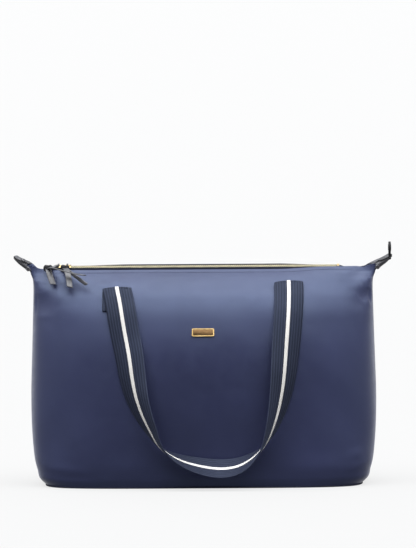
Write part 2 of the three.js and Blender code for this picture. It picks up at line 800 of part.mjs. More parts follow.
function baseBindingGeometry() {
  const outside = fabricThickness + clearance + facetRoom;
  const shape = new THREE.Shape(baseOutline(outside));
  shape.holes.push(new THREE.Path(baseOutline(outside + bindingThickness)));
  return new THREE.ExtrudeGeometry(shape, { depth: baseBindingHeight, bevelEnabled: false })
    .translate(0, 0, fabricThickness + clearance);
}

// The leather that is folded over an ear tip, from the back, over the zip's end, to the front.
function endTabGeometry(end) {
  const flap = (side, distance) => {
    const { grid, normals } = panelGrid(side);
    const rows = offsetGrid(side, grid, normals, distance).slice(-tabRows - 1);
    const covered = rows.map((row) =>
      end < 0 ? row.slice(0, tabColumns + 1).reverse() : row.slice(-tabColumns - 1),
    );
    // The leather goes on past the panel's edge, to pass over the zip's end.
    const [below, top] = covered.slice(-2);
    const past = tapeThickness / 2 + tabRoom + distance;
    covered[covered.length - 1] = top.map((point, j) =>
      point.clone().addScaledVector(point.clone().sub(below[j]).normalize(), past),
    );
    return covered;
  };
  const layer = (distance) => [...flap(BACK, distance), ...flap(FRONT, distance).reverse()];
  return shellBetween(layer(tabRoom + tabThickness), layer(tabRoom));
}

// The middle of a tab's outer face at one place along it, and the direction out of it there.
function tabTop(alongShare) {
  const above = tapeThickness / 2 + tabRoom + tabThickness;
  const x = alongShare * topHalfWidth;
  const reach = snapSocketRadius;
  const along = zipPoint(x + reach, 0, above).sub(zipPoint(x - reach, 0, above)).normalize();
  const behind = new THREE.Vector3(0, Math.cos(zipTilt), Math.sin(zipTilt));
  return { place: zipPoint(x, 0, above), out: along.cross(behind).normalize() };
}

function disc(radius, length) {
  return bar(radius, length, snapSides);
}

function addSnap(body) {
  const { place, out } = tabTop(tonguePlaceShare);
  const bend = place.addScaledVector(out, clearance + tongueThickness / 2);
  const outline = new THREE.Shape();
  const half = tongueWidth / 2;
  outline.moveTo(-half, 0);
  outline.lineTo(half, 0);
  outline.lineTo(half, tongueLength - half);
  outline.absarc(0, tongueLength - half, half, 0, Math.PI, false);
  outline.lineTo(-half, 0);
  const hole = new THREE.Path();
  hole.absarc(0, snapHeight, snapPostRadius + clearance, 0, 2 * Math.PI, true);
  outline.holes.push(hole);
  const flat = new THREE.ExtrudeGeometry(outline, {
    depth: tongueThickness, bevelEnabled: false, curveSegments: snapSides / 2,
  }).translate(0, 0, -tongueThickness / 2);
  const root = new THREE.CylinderGeometry(
    tongueThickness / 2, tongueThickness / 2, tongueWidth, snapSides / 2,
  ).rotateZ(Math.PI / 2);
  const stand = new THREE.Matrix4().makeBasis(
    new THREE.Vector3(0, Math.cos(zipTilt), Math.sin(zipTilt)),
    new THREE.Vector3(0, -Math.sin(zipTilt), Math.cos(zipTilt)),
    across,
  ).setPosition(bend);
  const capFace = tongueThickness / 2 + clearance;
  const cap = joined(
    disc(snapCapRadius, snapCapThickness).translate(0, snapHeight, capFace),
    disc(snapPostRadius, 2 * capFace + snapCapThickness / 2).translate(0, snapHeight, -capFace),
  );
  const socket = cut(
    disc(snapSocketRadius, snapSocketThickness)
      .translate(0, snapHeight, -capFace - snapSocketThickness),
    disc(snapPostRadius + clearance, snapSocketThickness + 2 * cutOverrun)
      .translate(0, snapHeight, -capFace - snapSocketThickness - cutOverrun),
  );
  body.add(piece("snap_tongue", joined(flat, root).applyMatrix4(stand), "leather"));
  body.add(piece("snap_cap", cap.applyMatrix4(stand), "snap"));
  body.add(piece("snap_socket", socket.applyMatrix4(stand), "snap"));
}

function snapStudGeometry() {
  const { place, out } = tabTop(-studPlaceShare);
  const turn = new THREE.Quaternion().setFromUnitVectors(up, out);
  return joined(
    disc(snapSocketRadius, snapSocketThickness),
    disc(snapPostRadius, snapSocketThickness + snapStudHeight),
  )
    .applyQuaternion(turn)
    .translate(...place.addScaledVector(out, clearance).toArray());
}

// The badge on the front panel, its prongs and the plate that backs it inside.
function addBadge(group) {
  const { point, normal } = onBody(FRONT, 0, badgeZ);
  const high = new THREE.Vector3().crossVectors(normal, across).normalize();
  const frame = new THREE.Matrix4().makeBasis(across, high, normal).setPosition(point);
  const plate = (width, height, corner, depth, z) => {
    const outline = new THREE.Shape();
    const [x, y] = [width / 2 - corner, height / 2 - corner];
    outline.absarc(x, y, corner, 0, Math.PI / 2, false);
    outline.absarc(-x, y, corner, Math.PI / 2, Math.PI, false);
    outline.absarc(-x, -y, corner, Math.PI, 1.5 * Math.PI, false);
    outline.absarc(x, -y, corner, 1.5 * Math.PI, 2 * Math.PI, false);
    const options = { depth, bevelEnabled: false, curveSegments: badgeCornerSteps };
    return new THREE.ExtrudeGeometry(outline, options).translate(0, 0, z);
  };
  const backingFront = -fabricThickness - clearance - facetRoom;
  const backingBack = backingFront - badgeBackingThickness;
  const prong = (end, radius, from, to) =>
    bar(radius, to - from, prongSides).translate((end * prongSpacing) / 2, 0, from);
  const face = cut(
    plate(badgeWidth, badgeHeight, badgeCorner, badgeThickness, clearance),
    plate(
      badgeWidth - 2 * badgeRim, badgeHeight - 2 * badgeRim, badgeCorner - badgeRim / 2,
      badgeRecess + cutOverrun, clearance + badgeThickness - badgeRecess,
    ),
  );
  const prongs = [-1, 1].map((end) =>
    prong(end, prongRadius, backingBack, clearance + badgeThickness / 2),
  );
  const holes = [-1, 1].map((end) =>
    prong(end, prongRadius + clearance, backingBack - cutOverrun, cutOverrun),
  );
  const backing = cut(
    plate(
      badgeWidth - badgeBackingMargin, badgeHeight - badgeBackingMargin, badgeCorner,
      badgeBackingThickness, backingBack,
    ),
    ...holes,
  );
  group.add(piece("badge_plate", joined(face, ...prongs).applyMatrix4(frame), "badge"));
  group.add(piece("badge_backing", backing.applyMatrix4(frame), "badge"));
  return holes.map((hole) => hole.applyMatrix4(frame));
}

function addPocket(group) {
  const inside = -fabricThickness - clearance - facetRoom;
  const hemBottomZ = pocketMouthZ - pocketHemHeight;
  const place = (bottom) => (j, i) => [
    (2 * j - 1) * pocketHalfWidth,
    lerp(bottom, pocketMouthZ, i),
  ];
  // The pocket stands away from the panel except along its two sides and its bottom.
  const slack = (j, height) => {
    const climb = (height - pocketBottomZ) / (pocketMouthZ - pocketBottomZ);
    const fromSides = smooth(1 - Math.abs(2 * j - 1), 0, pocketSlackShares[0]);
    return -pocketStandOff * fromSides * smooth(climb, 0, pocketSlackShares[1]);
  };
  const lift = (bottom) => (j, i) => slack(j, lerp(bottom, pocketMouthZ, i));
  group.add(
    piece(
      "inner_pocket",
      sheetOnBody(
        BACK, pocketColumns, pocketRows, place(pocketBottomZ), inside - pocketThickness, inside,
        lift(pocketBottomZ),
      ),
      "lining",
    ),
  );
  const hemFace = inside - pocketThickness - clearance;
  group.add(
    piece(
      "pocket_hem",
      sheetOnBody(
        BACK, pocketColumns, 1, place(hemBottomZ), hemFace - pocketHemThickness, hemFace,
        lift(hemBottomZ),
      ),
      "webbing",
    ),
  );
}

// The whole tote
const tote = new THREE.Group();
const shell = new THREE.Group();
tote.add(shell);
const badgeHoles = addBadge(shell);
shell.add(piece("front_panel", cut(panelGeometry(FRONT), ...badgeHoles), "nylon"));
shell.add(piece("back_panel", panelGeometry(BACK), "nylon"));
shell.add(piece("base_panel", basePanelGeometry(), "nylon"));
shell.add(piece("base_seam_binding", baseBindingGeometry(), "lining"));
addPocket(shell);
for (const [side, sideName] of [[FRONT, "front"], [BACK, "back"]]) {
  shell.add(piece(`${sideName}_zip_tape`, zipTapeGeometry(side), "tape"));
  shell.add(piece(`${sideName}_zip_teeth`, teethGeometry(side), "teeth"));
  for (const [end, endName] of [[-1, "left"], [1, "right"]]) {
    addAnchor(shell, side, end, `${sideName}_${endName}`);
  }
  const handle = new THREE.Group();
  addHandle(handle, side, `${sideName}_handle`);
  tote.add(handle);
}
for (const [end, endName, stopX] of [[-1, "left", teethLeftX], [1, "right", teethRightX]]) {
  shell.add(piece(`${endName}_zip_stop`, zipStopGeometry(stopX, end), "slider"));
  shell.add(piece(`${endName}_seam_binding`, sideBindingGeometry(end), "lining"));
  shell.add(piece(`${endName}_end_tab`, endTabGeometry(end), "leather"));
}
shell.add(piece("snap_stud", snapStudGeometry(), "snap"));

const snap = new THREE.Group();
addSnap(snap);
tote.add(snap);

const pulls = [
  {
    name: "left",
    sliderX: leftSliderX,
    knotX: leftSliderX - 2 * knotSize[0],
    leading: -1,
    tails: [
      {
        shares: [[0, 0, 0], [0.02, -0.14, -0.06], [0.08, -0.26, -0.24], [0.14, -0.34, -0.4]],
        width: laceWidth,
        flat: across,
      },
      {
        shares: [
          [0, 0, 0], [0.12, -0.28, 0.03], [0.3, -0.46, -0.01], [0.68, -0.51, -0.11],
          [0.98, -0.51, -0.16],
        ],
        width: laceWidth * narrowTailShare,
        flat: new THREE.Vector3(0, 1, 0),
      },
    ],
  },
  {
    name: "right",
    sliderX: rightSliderX,
    knotX: rightSliderX - knotSize[0] / 2,
    leading: 1,
    tails: [
      {
        shares: [[0, 0, 0], [0.04, -0.16, -0.02], [0.1, -0.38, -0.19], [0.14, -0.59, -0.46]],
        width: laceWidth,
        flat: across,
      },
      {
        shares: [[0, 0, 0], [0.1, -0.18, -0.04], [0.3, -0.36, -0.18], [0.58, -0.58, -0.38]],
        width: laceWidth * narrowTailShare,
        flat: new THREE.Vector3(1, 0, 1),
      },
    ],
  },
];
for (const { name, sliderX, knotX, leading, tails } of pulls) {
  const slider = new THREE.Group();
  slider.add(piece(`${name}_slider`, sliderGeometry(sliderX, leading), "slider"));
  slider.add(piece(`${name}_pull_lace`, laceGeometry(sliderX, knotX, tails), "leather"));
  tote.add(slider);
}

export default tote;
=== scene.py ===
"""A full, upright nylon travel tote, zipped shut, with its front handle hanging over the front.

Metres, +Z up, +X to the right seen from the front, the front faces -Y, and the bag stands on z = 0.
"""

import logging
import math
from dataclasses import dataclass, field
from enum import Enum

import bmesh
import bpy
import numpy as np
from mathutils import Matrix, Vector


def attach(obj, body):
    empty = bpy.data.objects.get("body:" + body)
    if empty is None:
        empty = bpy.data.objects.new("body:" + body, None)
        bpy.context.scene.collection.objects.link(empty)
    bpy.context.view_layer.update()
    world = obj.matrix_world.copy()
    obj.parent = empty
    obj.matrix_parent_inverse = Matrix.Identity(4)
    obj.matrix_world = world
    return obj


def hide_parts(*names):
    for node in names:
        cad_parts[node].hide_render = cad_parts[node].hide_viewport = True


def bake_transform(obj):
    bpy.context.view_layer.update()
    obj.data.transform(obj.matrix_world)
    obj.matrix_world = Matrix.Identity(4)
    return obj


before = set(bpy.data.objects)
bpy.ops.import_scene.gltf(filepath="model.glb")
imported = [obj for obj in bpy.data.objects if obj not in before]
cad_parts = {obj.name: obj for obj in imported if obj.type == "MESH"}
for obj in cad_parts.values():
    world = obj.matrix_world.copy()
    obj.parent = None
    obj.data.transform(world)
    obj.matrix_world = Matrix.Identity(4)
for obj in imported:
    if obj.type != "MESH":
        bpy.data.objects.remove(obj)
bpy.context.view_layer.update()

log = logging.getLogger("tote")

Array = np.ndarray
Colour = tuple[float, float, float]

MM = 0.001
UP = np.array([0.0, 0.0, 1.0])
ACROSS = np.array([1.0, 0.0, 0.0])


class Side(Enum):
    """The two broad sides of the bag, with the sign of y that each faces."""

    FRONT = -1
    BACK = 1


class End(Enum):
    """The two ends of the bag, with the sign of x that each lies at."""

    LEFT = -1
    RIGHT = 1


# Small geometry helpers


def unit(vectors: Array) -> Array:
    """Vectors scaled to length one.

    Args:
        vectors: An array whose last axis holds x, y and z.

    Returns:
        An array of the same shape.
    """
    length = np.linalg.norm(vectors, axis=-1, keepdims=True)
    return vectors / np.maximum(length, 1e-12)


def smooth(value: Array, low: float, high: float) -> Array:
    """An eased step from 0 at low to 1 at high.

    Args:
        value: Where to read the step.
        low: The value at which it leaves 0.
        high: The value at which it reaches 1.

    Returns:
        The step at each value.
    """
    t = np.clip((np.asarray(value, float) - low) / (high - low), 0, 1)
    return t * t * (3 - 2 * t)


def distances_along(points: Array) -> Array:
    """How far along a line of points each one lies.

    Args:
        points: An array of points, one a row.

    Returns:
        The length from the first point to each.
    """
    steps = np.linalg.norm(np.diff(points, axis=0), axis=-1)
    return np.concatenate([[0.0], np.cumsum(steps)])


def new_object(name: str, points: Array, faces: list, uvs: Array | None = None) -> bpy.types.Object:
    """A smooth-shaded mesh object in the scene.

    Args:
        name: The object's name.
        points: Its points, one a row.
        faces: Its faces, as lists of point numbers.
        uvs: For each face corner in turn, its place on the cloth in metres.

    Returns:
        The new object.
    """
    mesh = bpy.data.meshes.new(name)
    mesh.from_pydata([tuple(p) for p in points], [], faces)
    if uvs is not None:
        layer = mesh.uv_layers.new(name="cloth")
        layer.data.foreach_set("uv", np.asarray(uvs, np.float32).ravel())
    mesh.update()
    mesh.shade_smooth()
    made = bpy.data.objects.new(name, mesh)
    bpy.context.scene.collection.objects.link(made)
    return made


def grid_object(name: str, points: Array, uvs: Array, flip: bool = False) -> bpy.types.Object:
    """An open sheet over a grid of points.

    Args:
        name: The object's name.
        points: Rows by columns of points.
        uvs: Rows by columns of places on the cloth, in metres.
        flip: Whether the faces turn the other way.

    Returns:
        The sheet.
    """
    rows, columns = points.shape[:2]
    faces = []
    corners = []
    for i in range(rows - 1):
        for j in range(columns - 1):
            ring = [(i, j), (i, j + 1), (i + 1, j + 1), (i + 1, j)]
            if flip:
                ring.reverse()
            faces.append([r * columns + c for r, c in ring])
            corners.extend(uvs[r, c] for r, c in ring)
    return new_object(name, points.reshape(-1, 3), faces, np.array(corners))


def tube_object(name: str, rings: Array, uvs: Array, closed: bool = False) -> bpy.types.Object:
    """A closed skin over rings of points, with its two ends capped unless it closes on itself.

    Args:
        name: The object's name.
        rings: Rings by points of the section.
        uvs: Rings by one more than the section's points, of places on the cloth.
        closed: Whether the last ring joins the first.

    Returns:
        The tube.
    """
    count, sides = rings.shape[:2]
    faces = []
    corners = []
    for i in range(count if closed else count - 1):
        n = (i + 1) % count
        for j in range(sides):
            k = (j + 1) % sides
            faces.append([i * sides + j, i * sides + k, n * sides + k, n * sides + j])
            corners.extend([uvs[i, j], uvs[i, j + 1], uvs[n, j + 1], uvs[n, j]])
    if not closed:
        last = (count - 1) * sides
        faces.append(list(range(sides))[::-1])
        corners.extend(uvs[0, :sides][::-1])
        faces.append([last + j for j in range(sides)])
        corners.extend(uvs[-1, :sides])
    made = new_object(name, rings.reshape(-1, 3), faces, np.array(corners))
    face_outwards(made)
    return made


def face_outwards(made: bpy.types.Object) -> None:
    """Turns the faces of a closed mesh outwards.

    Args:
        made: The object to turn.
    """
    shape = bmesh.new()
    shape.from_mesh(made.data)
    bmesh.ops.recalc_face_normals(shape, faces=shape.faces)
    shape.to_mesh(made.data)
    shape.free()


def thicken(made: bpy.types.Object, thickness: float, offset: float = -1.0) -> None:
    """Gives a sheet its thickness.

    Args:
        made: The sheet.
        thickness: How thick it becomes.
        offset: -1 grows it behind its faces, 1 in front of them, and 0 both ways.
    """
    modifier = made.modifiers.new("thickness", "SOLIDIFY")
    modifier.thickness = thickness
    modifier.offset = offset
    modifier.use_even_offset = False
    modifier.use_quality_normals = True


def ease_edges(made: bpy.types.Object, width: float, steps: int = 2) -> None:
    """Rounds the hard edges of a piece.

    Args:
        made: The piece.
        width: How wide the rounding is.
        steps: How many faces it takes.
    """
    modifier = made.modifiers.new("eased edges", "BEVEL")
    modifier.width = width
    modifier.segments = steps
    modifier.limit_method = "ANGLE"
    modifier.angle_limit = math.radians(35)
    modifier.harden_normals = False


def round_bar(
    name: str, line: Array, radius: float, sides: int = 8, closed: bool = False
) -> bpy.types.Object:
    """A round cord of cloth or thread along a line.

    Args:
        name: The object's name.
        line: The points that it follows.
        radius: Half its thickness.
        sides: The number of sides of its section.
        closed: Whether it closes on itself.

    Returns:
        The cord.
    """
    if closed:
        ahead = unit(np.roll(line, -1, axis=0) - np.roll(line, 1, axis=0))
    else:
        ahead = unit(np.gradient(line, axis=0))
    guide = np.where(np.abs(ahead[:, 2:3]) > 0.8, ACROSS, UP)
    one = unit(np.cross(ahead, guide))
    two = np.cross(ahead, one)
    angles = np.linspace(0, 2 * np.pi, sides, endpoint=False)
    rings = (
        line[:, None]
        + radius * np.cos(angles)[None, :, None] * one[:, None]
        + radius * np.sin(angles)[None, :, None] * two[:, None]
    )
    along = distances_along(line)
    around = np.linspace(0, 2 * np.pi * radius, sides + 1)
    uvs = np.stack(np.meshgrid(around, along), axis=-1)
    return tube_object(name, rings, uvs, closed)


def stitch_run(name: str, line: Array, out: Array, length: float, gap: float) -> bpy.types.Object:
    """A run of single stitches that lie along a line on a surface.

    Args:
        name: The object's name.
        line: The points that the seam follows.
        out: The surface's outward direction at each point.
        length: The length of one stitch.
        gap: The distance between two stitches.

    Returns:
        All the stitches of the run as one object.
    """
    along = distances_along(line)
    starts = np.arange(gap / 2, along[-1] - length, length + gap)
    shape = bmesh.new()
    for start in starts:
        ends = [start, start + length * 0.5, start + length]
        at = [np.array([np.interp(e, along, line[:, k]) for k in range(3)]) for e in ends]
        face = unit(np.array([np.interp(ends[1], along, out[:, k]) for k in range(3)]))
        ahead = unit(at[2] - at[0])
        side = np.cross(face, ahead)
        radii = [0.12 * MM, 0.3 * MM, 0.12 * MM]
        rings = []
        for place, radius in zip(at, radii, strict=True):
            ring = [
                shape.verts.new(place + face * (radius * (0.4 + math.sin(a))) + side * radius * math.cos(a))
                for a in np.linspace(0, 2 * np.pi, 6, endpoint=False)
            ]
            rings.append(ring)
        for first, second in zip(rings, rings[1:]):
            for k in range(6):
                shape.faces.new([first[k], first[(k + 1) % 6], second[(k + 1) % 6], second[k]])
        shape.faces.new(rings[0][::-1])
        shape.faces.new(rings[-1])
    mesh = bpy.data.meshes.new(name)
    shape.to_mesh(mesh)
    shape.free()
    mesh.shade_smooth()
    made = bpy.data.objects.new(name, mesh)
    bpy.context.scene.collection.objects.link(made)
    face_outwards(made)
    return made


# The outer surface of the bag


@dataclass(frozen=True)
class BagForm:
    """The full bag's outer surface, which every other piece is placed on."""

    half_width: float = 226.6 * MM
    half_depth: float = 77 * MM
    zip_height: float = 285 * MM
    ear_rise: float = 13.5 * MM
    zip_tilt: float = math.radians(24)
    least_depth: float = 0.15 * MM
    ear_start: float = 0.87
    ear_power: float = 1.3
    pinch_share: float = 0.55
    pinch_starts: tuple[float, float] = (0.82, 0.9)
    level_from: tuple[float, float] = (0.1, 0.165)
    level_to: tuple[float, float] = (0.198, 0.222)
    tilt_start: float = 0.86
    ear_level: float = 0.85
    ear_level_from: tuple[float, float] = (0.188, 0.217)
    ear_level_to: tuple[float, float] = (0.232, 0.246)
    ear_tip: float = 247 * MM
    ear_parts_at: tuple[float, float] = (213 * MM, 223 * MM)
    ear_parting: tuple[float, float] = (1.4 * MM, 2.6 * MM)
    sink_starts: tuple[tuple[float, float], tuple[float, float]] = (
        (204.5 * MM, 212 * MM),
        (178 * MM, 190 * MM),
    )
    sink_ends: tuple[tuple[float, float], tuple[float, float]] = (
        (214 * MM, 228 * MM),
        (206 * MM, 222 * MM),
    )
    sinks: tuple[float, float] = (5.5 * MM, 3.2 * MM)
    front_sinks: tuple[float, float] = (1.0 * MM, 0.0)
    ear_set_back: float = 6.5 * MM
    set_back_from: float = 0.93
    set_back_to: tuple[float, float] = (0.226, 0.241)
    sink_from: float = 0.95
    parting_from: float = 0.983
    left_level_share: float = 0.75
    rows: tuple = (
        (0, 0.908, 0.942, 0, 4.4),
        (0.035, 0.953, 0.981, 0, 4.3),
        (0.07, 0.965, 0.991, 0, 4.2),
        (0.112, 0.979, 0.998, 0, 4.1),
        (0.175, 0.989, 1, 0, 3.9),
        (0.28, 0.9975, 0.989, 0, 3.7),
        (0.42, 1, 0.961, 0, 3.5),
        (0.545, 0.9955, 0.909, 0, 3.4),
        (0.65, 0.991, 0.838, 0, 3.3),
        (0.737, 0.9877, 0.747, 0, 3.2),
        (0.807, 0.985, 0.649, 0, 3.2),
        (0.863, 0.983, 0.539, 0, 3.2),
        (0.905, 0.982, 0.435, 0, 3.3),
        (0.94, 0.984, 0.338, -0.02, 3.5),
        (0.968, 0.991, 0.24, -0.17, 4.2),
        (0.985, 1.008, 0.165, 0.04, 5.5),
        (0.993, 1.033, 0.13, 0.42, 6.6),
        (1, 1.086, 0.1, 1, 8),
    )

    def row(self, height: Array) -> Array:
        """Width, depth, rise and exponent shares at heights from 0 at the base to 1 at the zip.

        Args:
            height: The heights, as shares.

        Returns:
            An array with the four shares on its last axis.
        """
        table = np.array(self.rows, float)
        knots, values = table[:, 0], table[:, 1:]
        height = np.clip(np.asarray(height, float), 0, 1)
        i = np.clip(np.searchsorted(knots, height, side="right"), 1, len(knots) - 1)
        before = np.where(i >= 2, i - 2, i)
        after = np.where(i + 1 < len(knots), i + 1, i - 1)
        t0, t1 = knots[i - 1], knots[i]
        half = (t1 - t0) / 2
        weigh_before = half / (t0 - knots[before])
        weigh_after = half / (knots[after] - t1)
        p = (height - t0) / (t1 - t0)
        squared, cubed = p * p, p * p * p
        s_before = -weigh_before * cubed + 2 * weigh_before * squared - weigh_before * p
        s_low = (1 + weigh_before) * cubed + (-1.5 - 2 * weigh_before) * squared
        s_low = s_low + (-0.5 + weigh_before) * p + 1
        s_high = (-1 - weigh_after) * cubed + (1.5 + weigh_after) * squared + 0.5 * p
        s_after = weigh_after * cubed - weigh_after * squared
        parts = zip((s_before, s_low, s_high, s_after), (before, i - 1, i, after), strict=True)
        return sum(s[..., None] * values[k] for s, k in parts)

    def ear_share(self, along: Array) -> Array:
        """How far a row has risen towards the ear at places along it."""
        past = np.maximum(0, (np.abs(along) - self.ear_start) / (1 - self.ear_start))
        return past**self.ear_power

    def depth_at(self, along: Array, height: Array) -> Array:
        """Half the bag's depth at places on its surface.

        Args:
            along: Places along the row, from -1 at the left seam to 1 at the right one.
            height: Heights, as shares.

        Returns:
            The half depths in metres.
        """
        shares = self.row(height)
        along = np.clip(along, -1, 1)
        power = shares[..., 3]
        outline = np.maximum(0, 1 - np.abs(along) ** power) ** (1 / power)
        drawn = smooth(np.abs(along), self.pinch_starts[0], 1) * smooth(height, self.pinch_starts[1], 1)
        return self.half_depth * shares[..., 1] * outline * (1 - self.pinch_share * drawn)

    def slope_share(self, side: Side, x: Array) -> Array:
        """How much of the zip's lean its edge keeps at places along it.

        Args:
            side: Which broad side.
            x: Places across, in metres.

        Returns:
            1 where the edge leans fully and less towards both ends of the teeth.
        """
        reach = np.where(x > 0, 1.0, self.left_level_share if side is Side.BACK else 0.0)
        level = smooth(np.abs(x), *self.level_from) * (1 - smooth(np.abs(x), *self.level_to))
        return 1 - np.maximum(reach * level, self.ear_level * self.at_ear(x))

    def at_ear(self, x: Array) -> Array:
        """1 at the root of each ear and 0 away from it, at places across."""
        return smooth(np.abs(x), *self.ear_level_from) * (1 - smooth(np.abs(x), *self.ear_level_to))

    def set_back(self, x: Array) -> Array:
        """How far the top edge is drawn back at the root of each ear, at places across."""
        root = smooth(np.abs(x), *self.ear_level_from) * (1 - smooth(np.abs(x), *self.set_back_to))
        return self.ear_set_back * root

    def sunk(self, side: Side | None, x: Array) -> Array:
        """How far the top edge lies above the zip's even line between the teeth and the ears.

        Args:
            side: Which broad side, or None for the zip's middle.
            x: Places across, in metres.

        Returns:
            The heights in metres, negative where the edge sinks.
        """
        depths = self.front_sinks if side is Side.FRONT else self.sinks
        total = np.zeros_like(x)
        for end, starts, ends, depth in zip(End, self.sink_starts, self.sink_ends, depths, strict=True):
            place = end.value * x
            total = total - depth * smooth(place, *starts) * (1 - smooth(place, *ends))
        return total

    def parted(self, side: Side | None, x: Array) -> Array:
        """How far an ear's edge lies above the ear's even line, where its two sides part.

        Args:
            side: Which broad side, or None for the ear's middle.
            x: Places across, in metres.

        Returns:
            The heights in metres, negative on the front side.
        """
        behind = side is Side.BACK
        start = self.ear_parts_at[0 if behind else 1]
        swell = np.sin(np.pi * np.clip((np.abs(x) - start) / (self.ear_tip - start), 0, 1))
        return swell * (self.ear_parting[0] if behind else -self.ear_parting[1])

    def point(self, side: Side, along: Array, height: Array) -> Array:
        """Points of the outer surface.

        Args:
            side: Which broad side.
            along: Places along the row, from -1 to 1.
            height: Heights, as shares.

        Returns:
            The points, with x, y and z on the last axis.
        """
        along, height = np.broadcast_arrays(np.asarray(along, float), np.asarray(height, float))
        lean = smooth(height, self.tilt_start, 1)
        depth = self.depth_at(along, height) * (1 - (1 - math.cos(self.zip_tilt)) * lean)
        top_depth = self.depth_at(along, np.ones_like(height))
        shares = self.row(height)
        x = self.half_width * shares[..., 0] * along
        y = side.value * np.maximum(depth, self.least_depth)
        climb = np.clip((height - self.set_back_from) / (1 - self.set_back_from), 0, 1)
        y = y + self.set_back(x) * climb**2
        z = self.zip_height * height + self.ear_rise * shares[..., 2] * self.ear_share(along)
        rise = side.value * math.sin(self.zip_tilt) * top_depth * lean
        z = z + rise * self.slope_share(side, x)
        z = z + self.sunk(side, x) * smooth(height, self.sink_from, 1)
        z = z + self.parted(side, x) * smooth(height, self.parting_from, 1)
        return np.stack([x, y, z], axis=-1)

    def normal(self, side: Side, along: Array, height: Array, step: float = 0.004) -> Array:
        """Outward directions of the outer surface at places given as shares.

        Args:
            side: Which broad side.
            along: Places along the row, from -1 to 1.
            height: Heights, as shares.
            step: The share over which the slope is taken.

        Returns:
            Unit vectors.
        """
        height = np.clip(height, step, 1 - step)
        along = np.clip(along, step - 1, 1 - step)
        right = self.point(side, along + step, height) - self.point(side, along - step, height)
        upward = self.point(side, along, height + step) - self.point(side, along, height - step)
        return unit(-side.value * np.cross(right, upward))

    def at(self, side: Side, x: Array, z: Array) -> tuple[Array, Array]:
        """The surface's points and outward directions at given places across and heights.

        Args:
            side: Which broad side.
            x: Places across, in metres.
            z: Heights above the floor, in metres.

        Returns:
            The points and the unit vectors.
        """
        x, z = np.broadcast_arrays(np.asarray(x, float), np.asarray(z, float))
        low, high = np.zeros_like(x), np.ones_like(x)
        for _ in range(30):
            middle = (low + high) / 2
            along = np.clip(x / (self.half_width * self.row(middle)[..., 0]), -1, 1)
            below = self.point(side, along, middle)[..., 2] < z
            low, high = np.where(below, middle, low), np.where(below, high, middle)
        along = np.clip(x / (self.half_width * self.row(low)[..., 0]), -1, 1)
        return self.point(side, along, low), self.normal(side, along, low)

    @property
    def top_half_width(self) -> float:
        """Half the length of the top row, from ear tip to ear tip."""
        return self.half_width * self.rows[-1][1]

    def on_zip(self, x: Array, y: Array, z: Array) -> Array:
        """Points given beside the zip's line, in its leaning frame, as points of the bag.

        Args:
            x: Places along the zip.
            y: Distances from its middle, towards the back.
            z: Heights above its plane.

        Returns:
            The points in the bag's frame.
        """
        x, y, z = np.broadcast_arrays(*(np.asarray(v, float) for v in (x, y, z)))
        c, s = math.cos(self.zip_tilt), math.sin(self.zip_tilt)
        rise = self.ear_rise * self.ear_share(x / self.top_half_width)
        return np.stack([x, c * y - s * z, self.zip_height + s * y + c * z + rise], axis=-1)

    @property
    def zip_out(self) -> Array:
        """The direction that the zip faces."""
        return np.array([0, -math.sin(self.zip_tilt), math.cos(self.zip_tilt)])


BAG = BagForm()


@dataclass(frozen=True)
class Fold:
    """One soft fold or dent in the cloth, along a short line on a panel."""

    start: tuple[float, float]
    stop: tuple[float, float]
    width: float
    height: float

    def lift(self, x: Array, z: Array) -> Array:
        """How far the fold lifts the cloth at places on the panel.

        Args:
            x: Places across.
            z: Heights.

        Returns:
            The lift in metres, negative where the fold is a dent.
        """
        (x0, z0), (x1, z1) = self.start, self.stop
        dx, dz = x1 - x0, z1 - z0
        t = np.clip(((x - x0) * dx + (z - z0) * dz) / (dx * dx + dz * dz), 0, 1)
        off = np.hypot(x - x0 - t * dx, z - z0 - t * dz)
        taper = 0.35 + 0.65 * np.sin(np.pi * np.clip(t, 0.02, 0.98))
        return self.height * taper * np.exp(-((off / self.width) ** 2))


# Finishes


class NodeBoard:
    """A material's or a group's node tree, with short calls to place and join nodes."""

    def __init__(self, tree: bpy.types.NodeTree) -> None:
        """Takes the tree that the nodes go in."""
        self.tree = tree

    def add(self, kind: str, **values: object) -> bpy.types.Node:
        """Places a node and sets its own properties.

        Args:
            kind: The node's Blender type.
            **values: Its properties.

        Returns:
            The node.
        """
        node = self.tree.nodes.new(kind)
        for name, value in values.items():
            setattr(node, name, value)
        return node

    def join(self, start: object, stop: object) -> None:
        """Joins an output socket to an input socket."""
        self.tree.links.new(start, stop)

    def maths(self, operation: str, first: object, second: object = 0.0) -> object:
        """A sum on two sockets or numbers.

        Args:
            operation: Blender's name of the sum.
            first: A socket or a number.
            second: A socket or a number.

        Returns:
            The socket with the result.
        """
        node = self.add("ShaderNodeMath", operation=operation)
        for place, value in zip(node.inputs, (first, second)):
            if isinstance(value, (int, float)):
                place.default_value = value
            else:
                self.join(value, place)
        return node.outputs[0]

    def ramp(self, value: object, low: float, high: float, start: float, stop: float) -> object:
        """A value carried from one range to another.

        Args:
            value: The socket to read.
            low: The start of its range.
            high: The end of its range.
            start: What low becomes.
            stop: What high becomes.

        Returns:
            The socket with the result.
        """
        node = self.add("ShaderNodeMapRange")
        self.join(value, node.inputs["Value"])
        for name, number in (("From Min", low), ("From Max", high), ("To Min", start), ("To Max", stop)):
            node.inputs[name].default_value = number
        return node.outputs["Result"]

    def blend_colours(self, share: object, first: Colour, second: Colour) -> object:
        """A mix of two colours.

        Args:
            share: The socket that says how much of the second one.
            first: The colour at 0.
            second: The colour at 1.

        Returns:
            The socket with the colour.
        """
        node = self.add("ShaderNodeMix", data_type="RGBA")
        self.join(share, node.inputs[0])
        node.inputs[6].default_value = (*first, 1)
        node.inputs[7].default_value = (*second, 1)
        return node.outputs[2]


